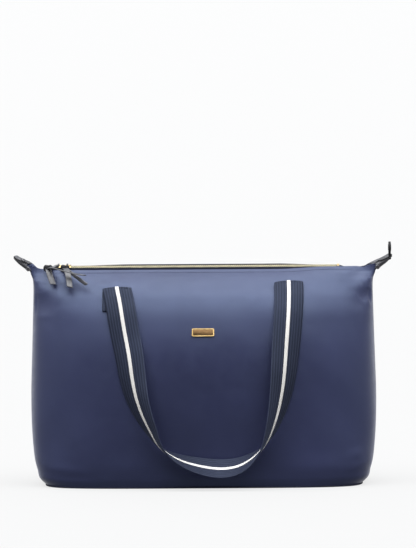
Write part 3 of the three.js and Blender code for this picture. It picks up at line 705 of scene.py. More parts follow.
def new_group(name: str, inputs: dict[str, float], outputs: tuple[str, ...]) -> bpy.types.NodeTree:
    """An empty shader group with its sockets.

    Args:
        name: The group's name.
        inputs: Its inputs and their values.
        outputs: Its outputs.

    Returns:
        The group's tree, with its input and output nodes.
    """
    group = bpy.data.node_groups.new(name, "ShaderNodeTree")
    for label, value in inputs.items():
        socket = group.interface.new_socket(label, in_out="INPUT", socket_type="NodeSocketFloat")
        socket.default_value = value
    for label in outputs:
        group.interface.new_socket(label, in_out="OUTPUT", socket_type="NodeSocketFloat")
    group.nodes.new("NodeGroupInput")
    group.nodes.new("NodeGroupOutput")
    return group


@dataclass(frozen=True)
class SharedEffects:
    """The shader groups that several finishes use, each built once."""

    def weave(self) -> bpy.types.NodeTree:
        """Crossing threads laid over the cloth's own places, as a height and a tone that follows the height:
        painted shade in the hollows between threads, varied at random.

        Returns:
            The group.
        """
        found = bpy.data.node_groups.get("crossing threads")
        if found:
            return found
        group = new_group(
            "crossing threads", {"Across": 2000.0, "Along": 2000.0, "Slant": 0.0}, ("Height", "Hollow shade and tone")
        )
        board = NodeBoard(group)
        given, result = group.nodes["Group Input"], group.nodes["Group Output"]
        place = board.add("ShaderNodeTexCoord").outputs["UV"]
        parts = board.add("ShaderNodeSeparateXYZ")
        board.join(place, parts.inputs[0])
        slanted = board.maths("MULTIPLY", parts.outputs[1], given.outputs["Slant"])
        leaned = board.maths("ADD", parts.outputs[0], slanted)
        across = board.maths("SINE", board.maths("MULTIPLY", leaned, given.outputs["Across"]))
        along = board.maths("SINE", board.maths("MULTIPLY", parts.outputs[1], given.outputs["Along"]))
        crossed = board.maths("MULTIPLY", across, along)
        rounded = board.maths("ADD", board.maths("MULTIPLY", crossed, 0.5), 0.5)
        board.join(rounded, result.inputs["Height"])
        noise = board.add("ShaderNodeTexNoise")
        noise.inputs["Scale"].default_value = 900
        noise.inputs["Detail"].default_value = 2
        board.join(place, noise.inputs["Vector"])
        # The tone is the thread height times noise: painted shade in the hollows, varied at random.
        board.join(board.maths("MULTIPLY", rounded, noise.outputs[0]), result.inputs["Hollow shade and tone"])
        return group

    def ribs(self) -> bpy.types.NodeTree:
        """Lengthwise ribs with cross threads between them, as a height and a tone that follows the ribs:
        painted shade between the ribs, speckled at random.

        Returns:
            The group.
        """
        found = bpy.data.node_groups.get("woven ribs")
        if found:
            return found
        group = new_group("woven ribs", {"Across": 2000.0, "Along": 2000.0, "Slant": 0.0}, ("Height", "Hollow shade and tone"))
        board = NodeBoard(group)
        given, result = group.nodes["Group Input"], group.nodes["Group Output"]
        place = board.add("ShaderNodeTexCoord").outputs["UV"]
        parts = board.add("ShaderNodeSeparateXYZ")
        board.join(place, parts.inputs[0])
        slanted = board.maths("MULTIPLY", parts.outputs[1], given.outputs["Slant"])
        leaned = board.maths("ADD", parts.outputs[0], slanted)
        wave = board.maths("SINE", board.maths("MULTIPLY", leaned, given.outputs["Across"]))
        rib = board.maths("ADD", board.maths("MULTIPLY", wave, 0.5), 0.5)
        thread = board.maths("SINE", board.maths("MULTIPLY", parts.outputs[1], given.outputs["Along"]))
        crossed = board.maths("ADD", board.maths("MULTIPLY", thread, 0.12), rib)
        board.join(crossed, result.inputs["Height"])
        noise = board.add("ShaderNodeTexNoise")
        noise.inputs["Scale"].default_value = 350
        noise.inputs["Detail"].default_value = 3
        board.join(place, noise.inputs["Vector"])
        speckle = board.ramp(noise.outputs[0], 0.3, 0.7, 0.55, 1.0)
        # The tone follows the ribs: painted shade in the grooves between them, speckled at random.
        board.join(board.maths("MULTIPLY", rib, speckle), result.inputs["Hollow shade and tone"])
        return group

    def wear(self) -> bpy.types.NodeTree:
        """Slow uneven patches over a surface, as a tone and a finer one.

        Returns:
            The group.
        """
        found = bpy.data.node_groups.get("uneven wear")
        if found:
            return found
        group = new_group("uneven wear", {"Size": 12.0}, ("Broad", "Fine"))
        board = NodeBoard(group)
        given, result = group.nodes["Group Input"], group.nodes["Group Output"]
        place = board.add("ShaderNodeTexCoord").outputs["Object"]
        for label, factor in (("Broad", 1.0), ("Fine", 9.0)):
            noise = board.add("ShaderNodeTexNoise")
            noise.inputs["Detail"].default_value = 4
            board.join(place, noise.inputs["Vector"])
            board.join(board.maths("MULTIPLY", given.outputs["Size"], factor), noise.inputs["Scale"])
            board.join(noise.outputs[0], result.inputs[label])
        return group

    def grain(self) -> bpy.types.NodeTree:
        """Leather's pebbled grain as a height.

        Returns:
            The group.
        """
        found = bpy.data.node_groups.get("pebbled grain")
        if found:
            return found
        group = new_group("pebbled grain", {"Size": 1100.0}, ("Height",))
        board = NodeBoard(group)
        given, result = group.nodes["Group Input"], group.nodes["Group Output"]
        cells = board.add("ShaderNodeTexVoronoi")
        board.join(board.add("ShaderNodeTexCoord").outputs["Object"], cells.inputs["Vector"])
        board.join(given.outputs["Size"], cells.inputs["Scale"])
        board.join(cells.outputs["Distance"], result.inputs["Height"])
        return group


EFFECTS = SharedEffects()


@dataclass(frozen=True)
class Finish:
    """What every finish has: its name, its colours and how rough and shiny it is."""

    name: str
    colour: Colour
    second: Colour
    roughness: float
    metallic: float = 0.0
    specular: float = 0.5
    specular_tint: Colour = (1.0, 1.0, 1.0)
    sheen: float = 0.0
    sheen_tint: Colour = (1.0, 1.0, 1.0)
    coat: float = 0.0

    def start(self) -> tuple[bpy.types.Material, NodeBoard, bpy.types.Node]:
        """A new material with its shader set up.

        Returns:
            The material, its board and its shader.
        """
        material = bpy.data.materials.new(self.name)
        material.use_nodes = True
        material.diffuse_color = (*self.colour, 1)
        board = NodeBoard(material.node_tree)
        shader = material.node_tree.nodes["Principled BSDF"]
        shader.inputs["Metallic"].default_value = self.metallic
        shader.inputs["Specular IOR Level"].default_value = self.specular
        shader.inputs["Specular Tint"].default_value = (*self.specular_tint, 1)
        shader.inputs["Sheen Weight"].default_value = self.sheen
        shader.inputs["Sheen Tint"].default_value = (*self.sheen_tint, 1)
        shader.inputs["Sheen Roughness"].default_value = 0.4
        shader.inputs["Coat Weight"].default_value = self.coat
        shader.inputs["Coat Roughness"].default_value = 0.35
        return material, board, shader

    def rough(self, board: NodeBoard, shader: bpy.types.Node, value: object, spread: float) -> None:
        """Lets the roughness follow a value.

        Args:
            board: The material's board.
            shader: Its shader.
            value: The socket that it follows, from 0 to 1.
            spread: How far it goes each way.
        """
        low, high = self.roughness - spread, self.roughness + spread
        board.join(board.ramp(value, 0.3, 0.7, low, high), shader.inputs["Roughness"])

    def bump(self, board: NodeBoard, shader: bpy.types.Node, height: object, depth: float) -> None:
        """Raises the surface by a height.

        Args:
            board: The material's board.
            shader: Its shader.
            height: The socket with the height, from 0 to 1.
            depth: How high 1 is, in metres.
        """
        node = board.add("ShaderNodeBump")
        node.inputs["Strength"].default_value = 1.0
        node.inputs["Distance"].default_value = depth
        board.join(height, node.inputs["Height"])
        board.join(node.outputs[0], shader.inputs["Normal"])

    def wear_node(self, board: NodeBoard, size: float) -> bpy.types.Node:
        """Places the shared uneven wear in a material."""
        node = board.add("ShaderNodeGroup", node_tree=EFFECTS.wear())
        node.inputs["Size"].default_value = size
        return node


@dataclass(frozen=True)
class WovenFinish(Finish):
    """Any woven cloth: threads of a given pitch, with a bump, a slightly uneven colour and painted shade in
    the hollows between threads.
    """

    across: float = 0.8 * MM
    along: float = 0.8 * MM
    slant: float = 0.0
    depth: float = 0.05 * MM
    uneven: float = 10.0
    ribbed: bool = False

    def build(self) -> bpy.types.Material:
        """Makes the material.

        Returns:
            The material.
        """
        material, board, shader = self.start()
        effect = EFFECTS.ribs() if self.ribbed else EFFECTS.weave()
        threads = board.add("ShaderNodeGroup", node_tree=effect)
        threads.inputs["Across"].default_value = 2 * math.pi / self.across
        threads.inputs["Along"].default_value = 2 * math.pi / self.along
        threads.inputs["Slant"].default_value = self.slant
        wear = self.wear_node(board, self.uneven)
        # The threads' tone darkens the colour in their hollows as painted shade; the broad wear adds real
        # uneven colour.
        tone = board.maths("MULTIPLY", threads.outputs["Hollow shade and tone"], 0.8)
        mixed = board.maths("ADD", tone, board.ramp(wear.outputs["Broad"], 0.3, 0.7, 0.0, 0.4))
        board.join(board.blend_colours(mixed, self.colour, self.second), shader.inputs["Base Color"])
        self.rough(board, shader, wear.outputs["Fine"], 0.05)
        self.bump(board, shader, threads.outputs["Height"], self.depth)
        return material


@dataclass(frozen=True)
class LeatherFinish(Finish):
    """Smooth leather with a fine grain and paler, rubbed places."""

    grain_size: float = 1100.0
    depth: float = 0.06 * MM

    def build(self) -> bpy.types.Material:
        """Makes the material.

        Returns:
            The material.
        """
        material, board, shader = self.start()
        grain = board.add("ShaderNodeGroup", node_tree=EFFECTS.grain())
        grain.inputs["Size"].default_value = self.grain_size
        wear = self.wear_node(board, 60.0)
        rubbed = board.ramp(wear.outputs["Broad"], 0.35, 0.7, 0.0, 1.0)
        board.join(board.blend_colours(rubbed, self.colour, self.second), shader.inputs["Base Color"])
        self.rough(board, shader, wear.outputs["Fine"], 0.08)
        self.bump(board, shader, grain.outputs["Height"], self.depth)
        return material


@dataclass(frozen=True)
class MetalFinish(Finish):
    """Plated or painted metal, a little uneven, with fine marks of use."""

    depth: float = 0.01 * MM
    marks: float = 150.0

    def build(self) -> bpy.types.Material:
        """Makes the material.

        Returns:
            The material.
        """
        material, board, shader = self.start()
        wear = self.wear_node(board, self.marks)
        board.join(
            board.blend_colours(
                board.ramp(wear.outputs["Broad"], 0.3, 0.7, 0.0, 1.0), self.colour, self.second
            ),
            shader.inputs["Base Color"],
        )
        self.rough(board, shader, wear.outputs["Fine"], 0.1)
        self.bump(board, shader, wear.outputs["Fine"], self.depth)
        return material


@dataclass
class Finishes:
    """Every material of the bag, by its finish's field name."""

    nylon: WovenFinish = WovenFinish(
        "coated nylon", (0.0044, 0.0048, 0.0131), (0.0095, 0.0105, 0.0275), 0.36, specular=0.2,
        specular_tint=(0.55, 0.7, 1.0), sheen=0.04, sheen_tint=(0.5, 0.6, 1.0),
        across=0.5 * MM, along=0.45 * MM, depth=0.03 * MM,
    )
    lining: WovenFinish = WovenFinish(
        "lining cloth", (0.003, 0.0035, 0.008), (0.006, 0.007, 0.016), 0.8, specular=0.06,
        across=0.6 * MM, along=0.6 * MM, depth=0.04 * MM,
    )
    webbing: WovenFinish = WovenFinish(
        "ribbed webbing", (0.001, 0.0012, 0.003), (0.008, 0.0095, 0.018), 0.6, specular=0.08,
        specular_tint=(0.6, 0.75, 1.0), sheen=0.03, sheen_tint=(0.6, 0.7, 1.0),
        across=3.5 * MM, along=1.3 * MM, depth=0.22 * MM, ribbed=True,
    )
    stripe: WovenFinish = WovenFinish(
        "white twill", (0.13, 0.125, 0.12), (0.29, 0.282, 0.271), 0.8, specular=0.05,
        across=2.4 * MM, along=1.2 * MM, slant=1.1, depth=0.1 * MM, ribbed=True,
    )
    tape: WovenFinish = WovenFinish(
        "zip tape cloth", (0.0015, 0.0018, 0.004), (0.004, 0.005, 0.01), 0.85, specular=0.04,
        across=0.7 * MM, along=0.9 * MM, depth=0.06 * MM,
    )
    leather: LeatherFinish = LeatherFinish(
        "smooth leather", (0.006, 0.006, 0.008), (0.02, 0.02, 0.024), 0.46, specular=0.3
    )
    # A darker copy of the leather for the knots, the tongue and the tab's rim: painted shade.
    shade_dark_leather: LeatherFinish = LeatherFinish(
        "black leather", (0.003, 0.003, 0.0035), (0.006, 0.006, 0.007), 0.6, specular=0.08
    )
    teeth: MetalFinish = MetalFinish(
        "pale gold teeth", (0.22, 0.2, 0.13), (0.3, 0.27, 0.18), 0.35, metallic=1.0
    )
    slider: MetalFinish = MetalFinish(
        "pale gold slider", (0.35, 0.26, 0.12), (0.5, 0.38, 0.2), 0.25, metallic=1.0
    )
    badge: MetalFinish = MetalFinish(
        "brass plate", (0.3, 0.2, 0.08), (0.42, 0.3, 0.14), 0.3, metallic=1.0
    )
    plate_field: MetalFinish = MetalFinish(
        "brushed plate field", (0.035, 0.02, 0.009), (0.06, 0.036, 0.017), 0.4, metallic=1.0, marks=500.0
    )
    snap: MetalFinish = MetalFinish(
        "black snap", (0.003, 0.003, 0.004), (0.006, 0.006, 0.007), 0.4, specular=0.12
    )
    thread: LeatherFinish = LeatherFinish(
        "sewing thread", (0.008, 0.009, 0.02), (0.016, 0.018, 0.035), 0.6, specular=0.1
    )
    pale_thread: LeatherFinish = LeatherFinish(
        "grey thread", (0.1, 0.1, 0.11), (0.18, 0.18, 0.2), 0.6, specular=0.2
    )
    built: dict[str, bpy.types.Material] = field(default_factory=dict)

    def dress(self, made: bpy.types.Object, finish: str) -> None:
        """Gives an object one of the finishes.

        Args:
            made: The object.
            finish: The finish's field name here.
        """
        if finish not in self.built:
            self.built[finish] = getattr(self, finish).build()
        made.data.materials.clear()
        made.data.materials.append(self.built[finish])


@dataclass
class Workshop:
    """Places finished pieces on the bag's bodies and reports each one."""

    finishes: Finishes = field(default_factory=Finishes)

    def place(
        self,
        made: bpy.types.Object,
        finish: str,
        body: str,
        slot: str,
        replaces: tuple[str, ...] = (),
    ) -> bpy.types.Object:
        """Dresses a new piece, lets it ride on a body and hides the solids it stands for.

        Args:
            made: The piece.
            finish: The finish's field name.
            body: The body that it rides on.
            slot: Not used.
            replaces: The CAD nodes that it stands for.

        Returns:
            The piece.
        """
        self.finishes.dress(made, finish)
        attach(made, body)
        if replaces:
            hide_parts(*replaces)
        log.info("%s rides on %s", made.name, body)
        return made

    def bend(
        self,
        made: bpy.types.Object,
        finish: str,
        slot: str,
        bodies: tuple[str, str],
        reach: tuple[Array, Array],
    ) -> bpy.types.Object:
        """Dresses a piece that lies between two bodies, bakes its place into its mesh and names both bodies
        in the log; it rides on neither.

        Args:
            made: The piece.
            finish: The finish's field name.
            slot: Not used.
            bodies: The two bodies.
            reach: Not used.

        Returns:
            The piece.
        """
        self.finishes.dress(made, finish)
        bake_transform(made)
        log.info("%s bends between %s and %s", made.name, *bodies)
        return made

    def keep(self, node: str, finish: str, slot: str, edge: float) -> None:
        """Gives a CAD node that stays in view its finish and eased edges.

        Args:
            node: The node's name.
            finish: The finish's field name.
            slot: Not used.
            edge: How wide its edges are rounded.
        """
        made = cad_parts[node]
        self.finishes.dress(made, finish)
        if edge:
            ease_edges(made, edge)
        log.info("%s keeps its own shape", node)


# The bag's cloth


@dataclass
class ClothPanels:
    """The front, the back and the base of the bag, with the seams that join them."""

    thickness: float = 1.0 * MM
    columns: int = 150
    rows_a_step: int = 7
    piping_radius: float = 1.1 * MM
    row_marks: tuple[float, ...] = (
        0, 0.03, 0.07, 0.12, 0.19, 0.3, 0.44, 0.56, 0.66, 0.75, 0.82, 0.875, 0.92, 0.95, 0.972,
        0.985, 0.993, 1,
    )
    front_folds: tuple[Fold, ...] = (
        Fold((0.222, 0.256), (0.209, 0.24), 0.0115, -2.8 * MM),
        Fold((0.204, 0.2675), (0.222, 0.2845), 0.0125, 2.4 * MM),
        Fold((0.2145, 0.2445), (0.2215, 0.233), 0.0025, 0.7 * MM),
        Fold((-0.214, 0.254), (-0.211, 0.222), 0.0145, -3.4 * MM),
        Fold((-0.19, 0.268), (-0.186, 0.235), 0.008, 0.9 * MM),
        Fold((-0.152, 0.283), (-0.122, 0.266), 0.005, -0.9 * MM),
        Fold((-0.115, 0.283), (-0.085, 0.272), 0.005, -0.8 * MM),
        Fold((-0.14, 0.262), (-0.11, 0.268), 0.004, 0.6 * MM),
        Fold((-0.208, 0.013), (-0.14, 0.0125), 0.004, -0.9 * MM),
        Fold((-0.205, 0.026), (-0.15, 0.02), 0.007, 1.0 * MM),
        Fold((0.215, 0.03), (0.18, 0.018), 0.008, 1.0 * MM),
        Fold((0.21, 0.045), (0.19, 0.04), 0.008, 0.9 * MM),
        Fold((-0.13, 0.021), (-0.07, 0.019), 0.018, 1.6 * MM),
        Fold((0.11, 0.02), (0.19, 0.022), 0.018, 2.0 * MM),
        Fold((0.06, 0.262), (0.14, 0.245), 0.014, -0.7 * MM),
        Fold((-0.045, 0.044), (0.05, 0.04), 0.045, -4.8 * MM),
        Fold((-0.045, 0.128), (0.05, 0.122), 0.03, -1.2 * MM),
        Fold((-0.17, 0.12), (-0.2, 0.05), 0.02, -0.8 * MM),
        Fold((0.165, 0.13), (0.2, 0.06), 0.02, -0.8 * MM),
    )
    back_folds: tuple[Fold, ...] = (
        Fold((0.213, 0.265), (0.213, 0.24), 0.011, -2.8 * MM),
        Fold((-0.213, 0.265), (-0.213, 0.24), 0.011, -2.6 * MM),
        Fold((0.1, 0.12), (-0.06, 0.08), 0.03, -1.8 * MM),
        Fold((-0.16, 0.13), (-0.2, 0.06), 0.02, -0.8 * MM),
        Fold((0.17, 0.12), (0.2, 0.05), 0.02, -0.8 * MM),
        Fold((-0.05, 0.262), (-0.12, 0.248), 0.012, -0.7 * MM),
    )

    def relief(self, side: Side, x: Array, z: Array) -> Array:
        """How far the cloth stands off the bag's plain form.

        Args:
            side: Which broad side.
            x: Places across.
            z: Heights.

        Returns:
            The distance in metres.
        """
        folds = self.front_folds if side is Side.FRONT else self.back_folds
        lift = sum(fold.lift(x, z) for fold in folds)
        slack = 0.35 * MM * np.sin(31 * x + 2.1 * side.value) * np.sin(27 * z + 9 * x)
        slack = slack + 0.2 * MM * np.sin(74 * x + 11 * z) * np.sin(61 * z - 1.3)
        room = smooth(z, 0.0, 0.03) * (1 - smooth(z, 0.262, 0.283))
        return (lift + slack) * np.maximum(room, 0.15)

    def panel_points(self, side: Side) -> tuple[Array, Array]:
        """The points of a panel's outer face and their places on the cloth.

        Args:
            side: Which broad side.

        Returns:
            The grid of points and the grid of places.
        """
        marks = np.arange(len(self.row_marks))
        steps = np.linspace(0, marks[-1], marks[-1] * self.rows_a_step + 1)
        heights = np.interp(steps, marks, self.row_marks)
        turn = -np.cos(np.linspace(0, np.pi, self.columns + 1))
        alongs = np.sign(turn) * np.abs(turn) ** 0.7
        height, along = np.meshgrid(heights, alongs, indexing="ij")
        points = BAG.point(side, along, height)
        normals = BAG.normal(side, along, height)
        lift = self.relief(side, points[..., 0], points[..., 2])
        lift = lift * (1 - smooth(np.abs(along), 0.985, 1.0))
        points = points + normals * lift[..., None]
        middle = points[:, len(alongs) // 2]
        v = distances_along(middle)
        uvs = np.stack([points[..., 0], np.repeat(v[:, None], len(alongs), 1)], axis=-1)
        return points, uvs

    def build(self, shop: Workshop) -> None:
        """Makes the panels, the base and the seams.

        Args:
            shop: Where the pieces are dressed and placed.
        """
        for side, name in ((Side.FRONT, "front"), (Side.BACK, "back")):
            points, uvs = self.panel_points(side)
            cloth = grid_object(f"{name}_cloth", points, uvs, flip=side is Side.BACK)
            thicken(cloth, self.thickness)
            shop.place(cloth, "nylon", "root", "nylon", (f"{name}_panel",))
        self.build_base(shop)
        self.build_seams(shop)

    def outline(self, height: float, inset: float, count: int = 160) -> Array:
        """The bag's outline at one height, drawn in by a distance.

        Args:
            height: The height, as a share.
            inset: How far inside the outer face.
            count: How many points.

        Returns:
            The points, all round.
        """
        width, depth, _, power = BAG.row(np.array(height))
        angle = np.linspace(0, 2 * np.pi, count, endpoint=False)
        c, s = np.cos(angle), np.sin(angle)
        x = (BAG.half_width * width - inset) * np.sign(c) * np.abs(c) ** (2 / power)
        y = (BAG.half_depth * depth - inset) * np.sign(s) * np.abs(s) ** (2 / power)
        return np.stack([x, y, np.full(count, BAG.zip_height * height)], axis=-1)

    def build_base(self, shop: Workshop) -> None:
        """Makes the base cloth, which lies flat inside its seam.

        Args:
            shop: Where the piece is dressed and placed.
        """
        rim = self.outline(0.0, 0.4 * MM)
        shares = np.linspace(0.02, 1, 14)
        points = np.stack([rim * [s, s, 1] for s in shares])
        points = np.concatenate([points, points[:, :1]], axis=1)
        points[..., 2] = 0.35 * MM + 0.5 * MM * np.sin(points[..., 0] * 40) ** 2 * (1 - shares[:, None]) ** 2
        base = grid_object("base_cloth", points, points[..., :2].copy())
        thicken(base, self.thickness, offset=1.0)
        shop.place(base, "nylon", "root", "nylon", ("base_panel",))

    def build_seams(self, shop: Workshop) -> None:
        """Makes the piping round the base and up both ends, and the bindings inside. The piping is dressed in
        the dark lining cloth: a real seam cord, with painted shade along the bag's edges.

        Args:
            shop: Where the pieces are dressed and placed.
        """
        line = self.outline(0.006, 0.1 * MM)
        line[:, 2] = self.piping_radius
        # The base piping is a real cord in the darker lining cloth: painted shade along the bottom edge.
        piping = round_bar("base_piping", line, self.piping_radius, closed=True)
        shop.place(piping, "lining", "root", "lining")
        inside = self.outline(0.012, 2.4 * MM)
        tape = np.stack([inside, inside + [0, 0, 7 * MM]])
        tape = np.concatenate([tape, tape[:, :1]], axis=1)
        rows = np.array([2.2 * MM, 9 * MM])
        tape[..., 2] = rows[:, None]
        around = distances_along(tape[0])
        uvs = np.stack(np.meshgrid(around, rows), axis=-1)
        binding = grid_object("base_binding", tape, uvs)
        thicken(binding, 0.7 * MM, offset=0.0)
        shop.place(binding, "lining", "root", "lining", ("base_seam_binding",))
        for end in End:
            name = end.name.lower()
            heights = np.linspace(0.01, 0.978, 90)
            seam = BAG.point(Side.FRONT, np.full(90, float(end.value)), heights) * [1, 0, 1]
            seam[:, 0] -= end.value * 0.5 * MM
            # The side piping is a real cord in the darker lining cloth: painted shade along each end.
            cord = round_bar(f"{name}_side_piping", seam, self.piping_radius * 0.75)
            shop.place(cord, "lining", "root", "lining")
            heights = np.linspace(0.08, 0.955, 40)
            half = np.linspace(-4.5 * MM, 4.5 * MM, 5)
            edge = BAG.point(Side.FRONT, np.full(40, float(end.value)), heights)
            strip = np.repeat(edge[:, None], 5, axis=1)
            strip[..., 0] -= end.value * (2.6 * MM + np.abs(half) * 0.35)
            strip[..., 1] = half
            uvs = np.stack(np.meshgrid(half, distances_along(edge)), axis=-1)
            inner = grid_object(f"{name}_inner_binding", strip, uvs)
            thicken(inner, 0.7 * MM, offset=0.0)
            shop.place(inner, "lining", "root", "lining", (f"{name}_seam_binding",))


# The zip


@dataclass
class Zipper:
    """The zip along the top: two tapes, two rows of teeth, stops and two sliders."""

    left: float = -203 * MM
    right: float = 176 * MM
    pitch: float = 2.7 * MM
    tooth: tuple[float, float, float] = (1.45 * MM, 3.3 * MM, 2.3 * MM)
    tape_thickness: float = 0.8 * MM
    tape_reach_share: float = 0.9
    tape_closes: tuple[float, float] = (2 * MM, 6 * MM)
    teeth_room: float = 2.9 * MM
    tape_gap: float = 0.15 * MM
    tape_inset: float = 0.9 * MM
    least_tape: float = 0.2 * MM
    tape_sag: float = 0.35 * MM

    def tape(self, side: Side) -> bpy.types.Object:
        """One tape, from beside the teeth to under the panel's edge, and on into the ears.

        Args:
            side: Which broad side it is sewn to.

        Returns:
            The tape.
        """
        reach = self.tape_reach_share * BAG.top_half_width
        x = np.linspace(-reach, reach, 140)
        near, far = self.tape_closes
        closed = 1 - smooth(x, self.left - far, self.left - near) * (
            1 - smooth(x, self.right + near, self.right + far)
        )
        inner = self.teeth_room * (1 - closed) + self.tape_gap
        outer = BAG.depth_at(x / BAG.top_half_width, np.ones_like(x)) - self.tape_inset
        outer = np.maximum(outer, inner + self.least_tape)
        shares = np.linspace(0, 1, 5)
        y = inner[None] + (outer - inner)[None] * shares[:, None]
        sag = -self.tape_sag * np.sin(np.pi * shares)[:, None] * np.ones_like(x)[None]
        points = BAG.on_zip(np.broadcast_to(x, y.shape), side.value * y, sag)
        eased = (1 - BAG.slope_share(side, x)) * math.sin(BAG.zip_tilt)
        points[..., 2] -= side.value * eased * np.maximum(y - 3 * MM, 0) * 1.35
        points[..., 1] += BAG.set_back(x)
        for shift in (BAG.sunk, BAG.parted):
            points[..., 2] += shift(None, x) * (1 - shares[:, None]) + shift(side, x) * shares[:, None]
        uvs = np.stack([np.broadcast_to(x, y.shape), y], axis=-1)
        name = side.name.lower()
        made = grid_object(f"{name}_tape_cloth", points, uvs, flip=side is Side.FRONT)
        thicken(made, self.tape_thickness, offset=0.0)
        return made

    def teeth(self, side: Side) -> bpy.types.Object:
        """One row of single teeth that reach between those of the other row.

        Args:
            side: Which row.

        Returns:
            All the teeth of the row as one object.
        """
        length, width, height = self.tooth
        shift = 0.0 if side is Side.FRONT else self.pitch / 2
        shape = bmesh.new()
        for x in np.arange(self.left + self.pitch / 2 + shift, self.right - 0.5 * MM, self.pitch):
            middle = BAG.on_zip(x, side.value * (width / 2 - 0.25 * MM), 0.0)
            turn = Matrix.Rotation(BAG.zip_tilt, 4, "X")
            size = Matrix.Diagonal((length, width, height, 1))
            place = Matrix.Translation(Vector(middle)) @ turn @ size
            bmesh.ops.create_cube(shape, size=1.0, matrix=place)
        mesh = bpy.data.meshes.new(f"{side.name.lower()}_teeth")
        shape.to_mesh(mesh)
        shape.free()
        made = bpy.data.objects.new(mesh.name, mesh)
        bpy.context.scene.collection.objects.link(made)
        ease_edges(made, 0.35 * MM)
        return made

    def edge_stitches(self, side: Side) -> bpy.types.Object:
        """The row of stitches that holds the tape, on the panel beside the zip.

        Args:
            side: Which broad side.

        Returns:
            The stitches.
        """
        along = np.linspace(-0.86, 0.86, 120)
        height = np.full(120, 0.9865)
        points = BAG.point(side, along, height)
        out = BAG.normal(side, along, height)
        name = f"{side.name.lower()}_zip_stitches"
        return stitch_run(name, points + out * 0.05 * MM, out, 2.6 * MM, 0.8 * MM)

    def build(self, shop: Workshop) -> None:
        """Makes the zip's pieces.

        Args:
            shop: Where the pieces are dressed and placed.
        """
        for side in Side:
            name = side.name.lower()
            shop.place(self.tape(side), "tape", "root", "zip_tape", (f"{name}_zip_tape",))
            shop.place(self.teeth(side), "teeth", "root", "zip_teeth", (f"{name}_zip_teeth",))
            shop.place(self.edge_stitches(side), "thread", "root", "nylon")
        for end in End:
            name = end.name.lower()
            shop.keep(f"{name}_zip_stop", "slider", "slider_metal", 0.4 * MM)
            Slider(end).build(shop)


# Where the middle of each slider lies along the zip
SLIDER_PLACES = {End.LEFT: -189.511 * MM, End.RIGHT: -178.011 * MM}


@dataclass
class Slider:
    """A low zip slider: two waisted plates, the neck between them and a bridge on top."""

    end: End
    length: float = 10.5 * MM
    width: float = 8.2 * MM
    waist: float = 6.2 * MM
    plate: tuple[float, float] = (1.35 * MM, 2.2 * MM)
    bridge_half: float = 3.4 * MM
    bridge_rise: float = 1.4 * MM
    bar: float = 0.6 * MM

    @property
    def middle(self) -> float:
        """The slider's place along the zip."""
        return SLIDER_PLACES[self.end]

    def plate_shape(self, name: str, low: float, high: float) -> bpy.types.Object:
        """One plate, wider at its nose than at its heel, with a rounded rim.

        Args:
            name: The object's name.
            low: Its lower face, above the zip's plane.
            high: Its upper face.

        Returns:
            The plate.
        """
        angles = np.linspace(0, 2 * np.pi, 40, endpoint=False)
        c, s = np.cos(angles), np.sin(angles)
        x = np.sign(c) * np.abs(c) ** 0.45 * self.length / 2
        nose = smooth(self.end.value * x, -self.length / 2, self.length / 2)
        half = (self.waist + (self.width - self.waist) * nose) / 2
        y = np.sign(s) * np.abs(s) ** 0.5 * half
        rim = 0.25 * MM
        levels = [(low, rim), (low + rim, 0.0), (high - rim, 0.0), (high, rim)]
        rings = np.array(
            [
                BAG.on_zip(self.middle + x * (1 - inset / self.length * 2), y * (1 - inset / half), z)
                for z, inset in levels
            ]
        )
        uvs = np.zeros((4, 41, 2))
        return tube_object(name, rings, uvs)

    def build(self, shop: Workshop) -> None:
        """Makes the slider's pieces.

        Args:
            shop: Where the pieces are dressed and placed.
        """
        name = f"{self.end.name.lower()}_slider"
        body = f"{self.end.name.lower()}_zip_slider"
        low, high = self.plate
        top = self.plate_shape(f"{name}_top_plate", low, high)
        shop.place(top, "slider", body, "slider_metal", (name,))
        under = self.plate_shape(f"{name}_under_plate", -high, -low)
        shop.place(under, "slider", body, "slider_metal")
        nose = self.middle + self.end.value * (self.length / 2 - 1.6 * MM)
        post = BAG.on_zip(np.array([nose, nose]), 0.0, np.array([-low - 0.3 * MM, low + 0.3 * MM]))
        shop.place(round_bar(f"{name}_neck", post, 0.42 * MM), "slider", body, "slider_metal")
        turn = np.linspace(0, np.pi, 17)
        x = self.middle + self.bridge_half * np.cos(turn)
        z = high - 0.3 * MM + self.bridge_rise * np.sin(turn) ** 0.6
        bridge = round_bar(f"{name}_bridge", BAG.on_zip(x, 0.0, z), self.bar, sides=10)
        shop.place(bridge, "slider", body, "slider_metal")


# The pull laces


@dataclass(frozen=True)
class Tail:
    """One hanging end of a lace, as points from its knot's middle."""

    points: tuple[tuple[float, float, float], ...]
    width: float
    flat: tuple[float, float, float]


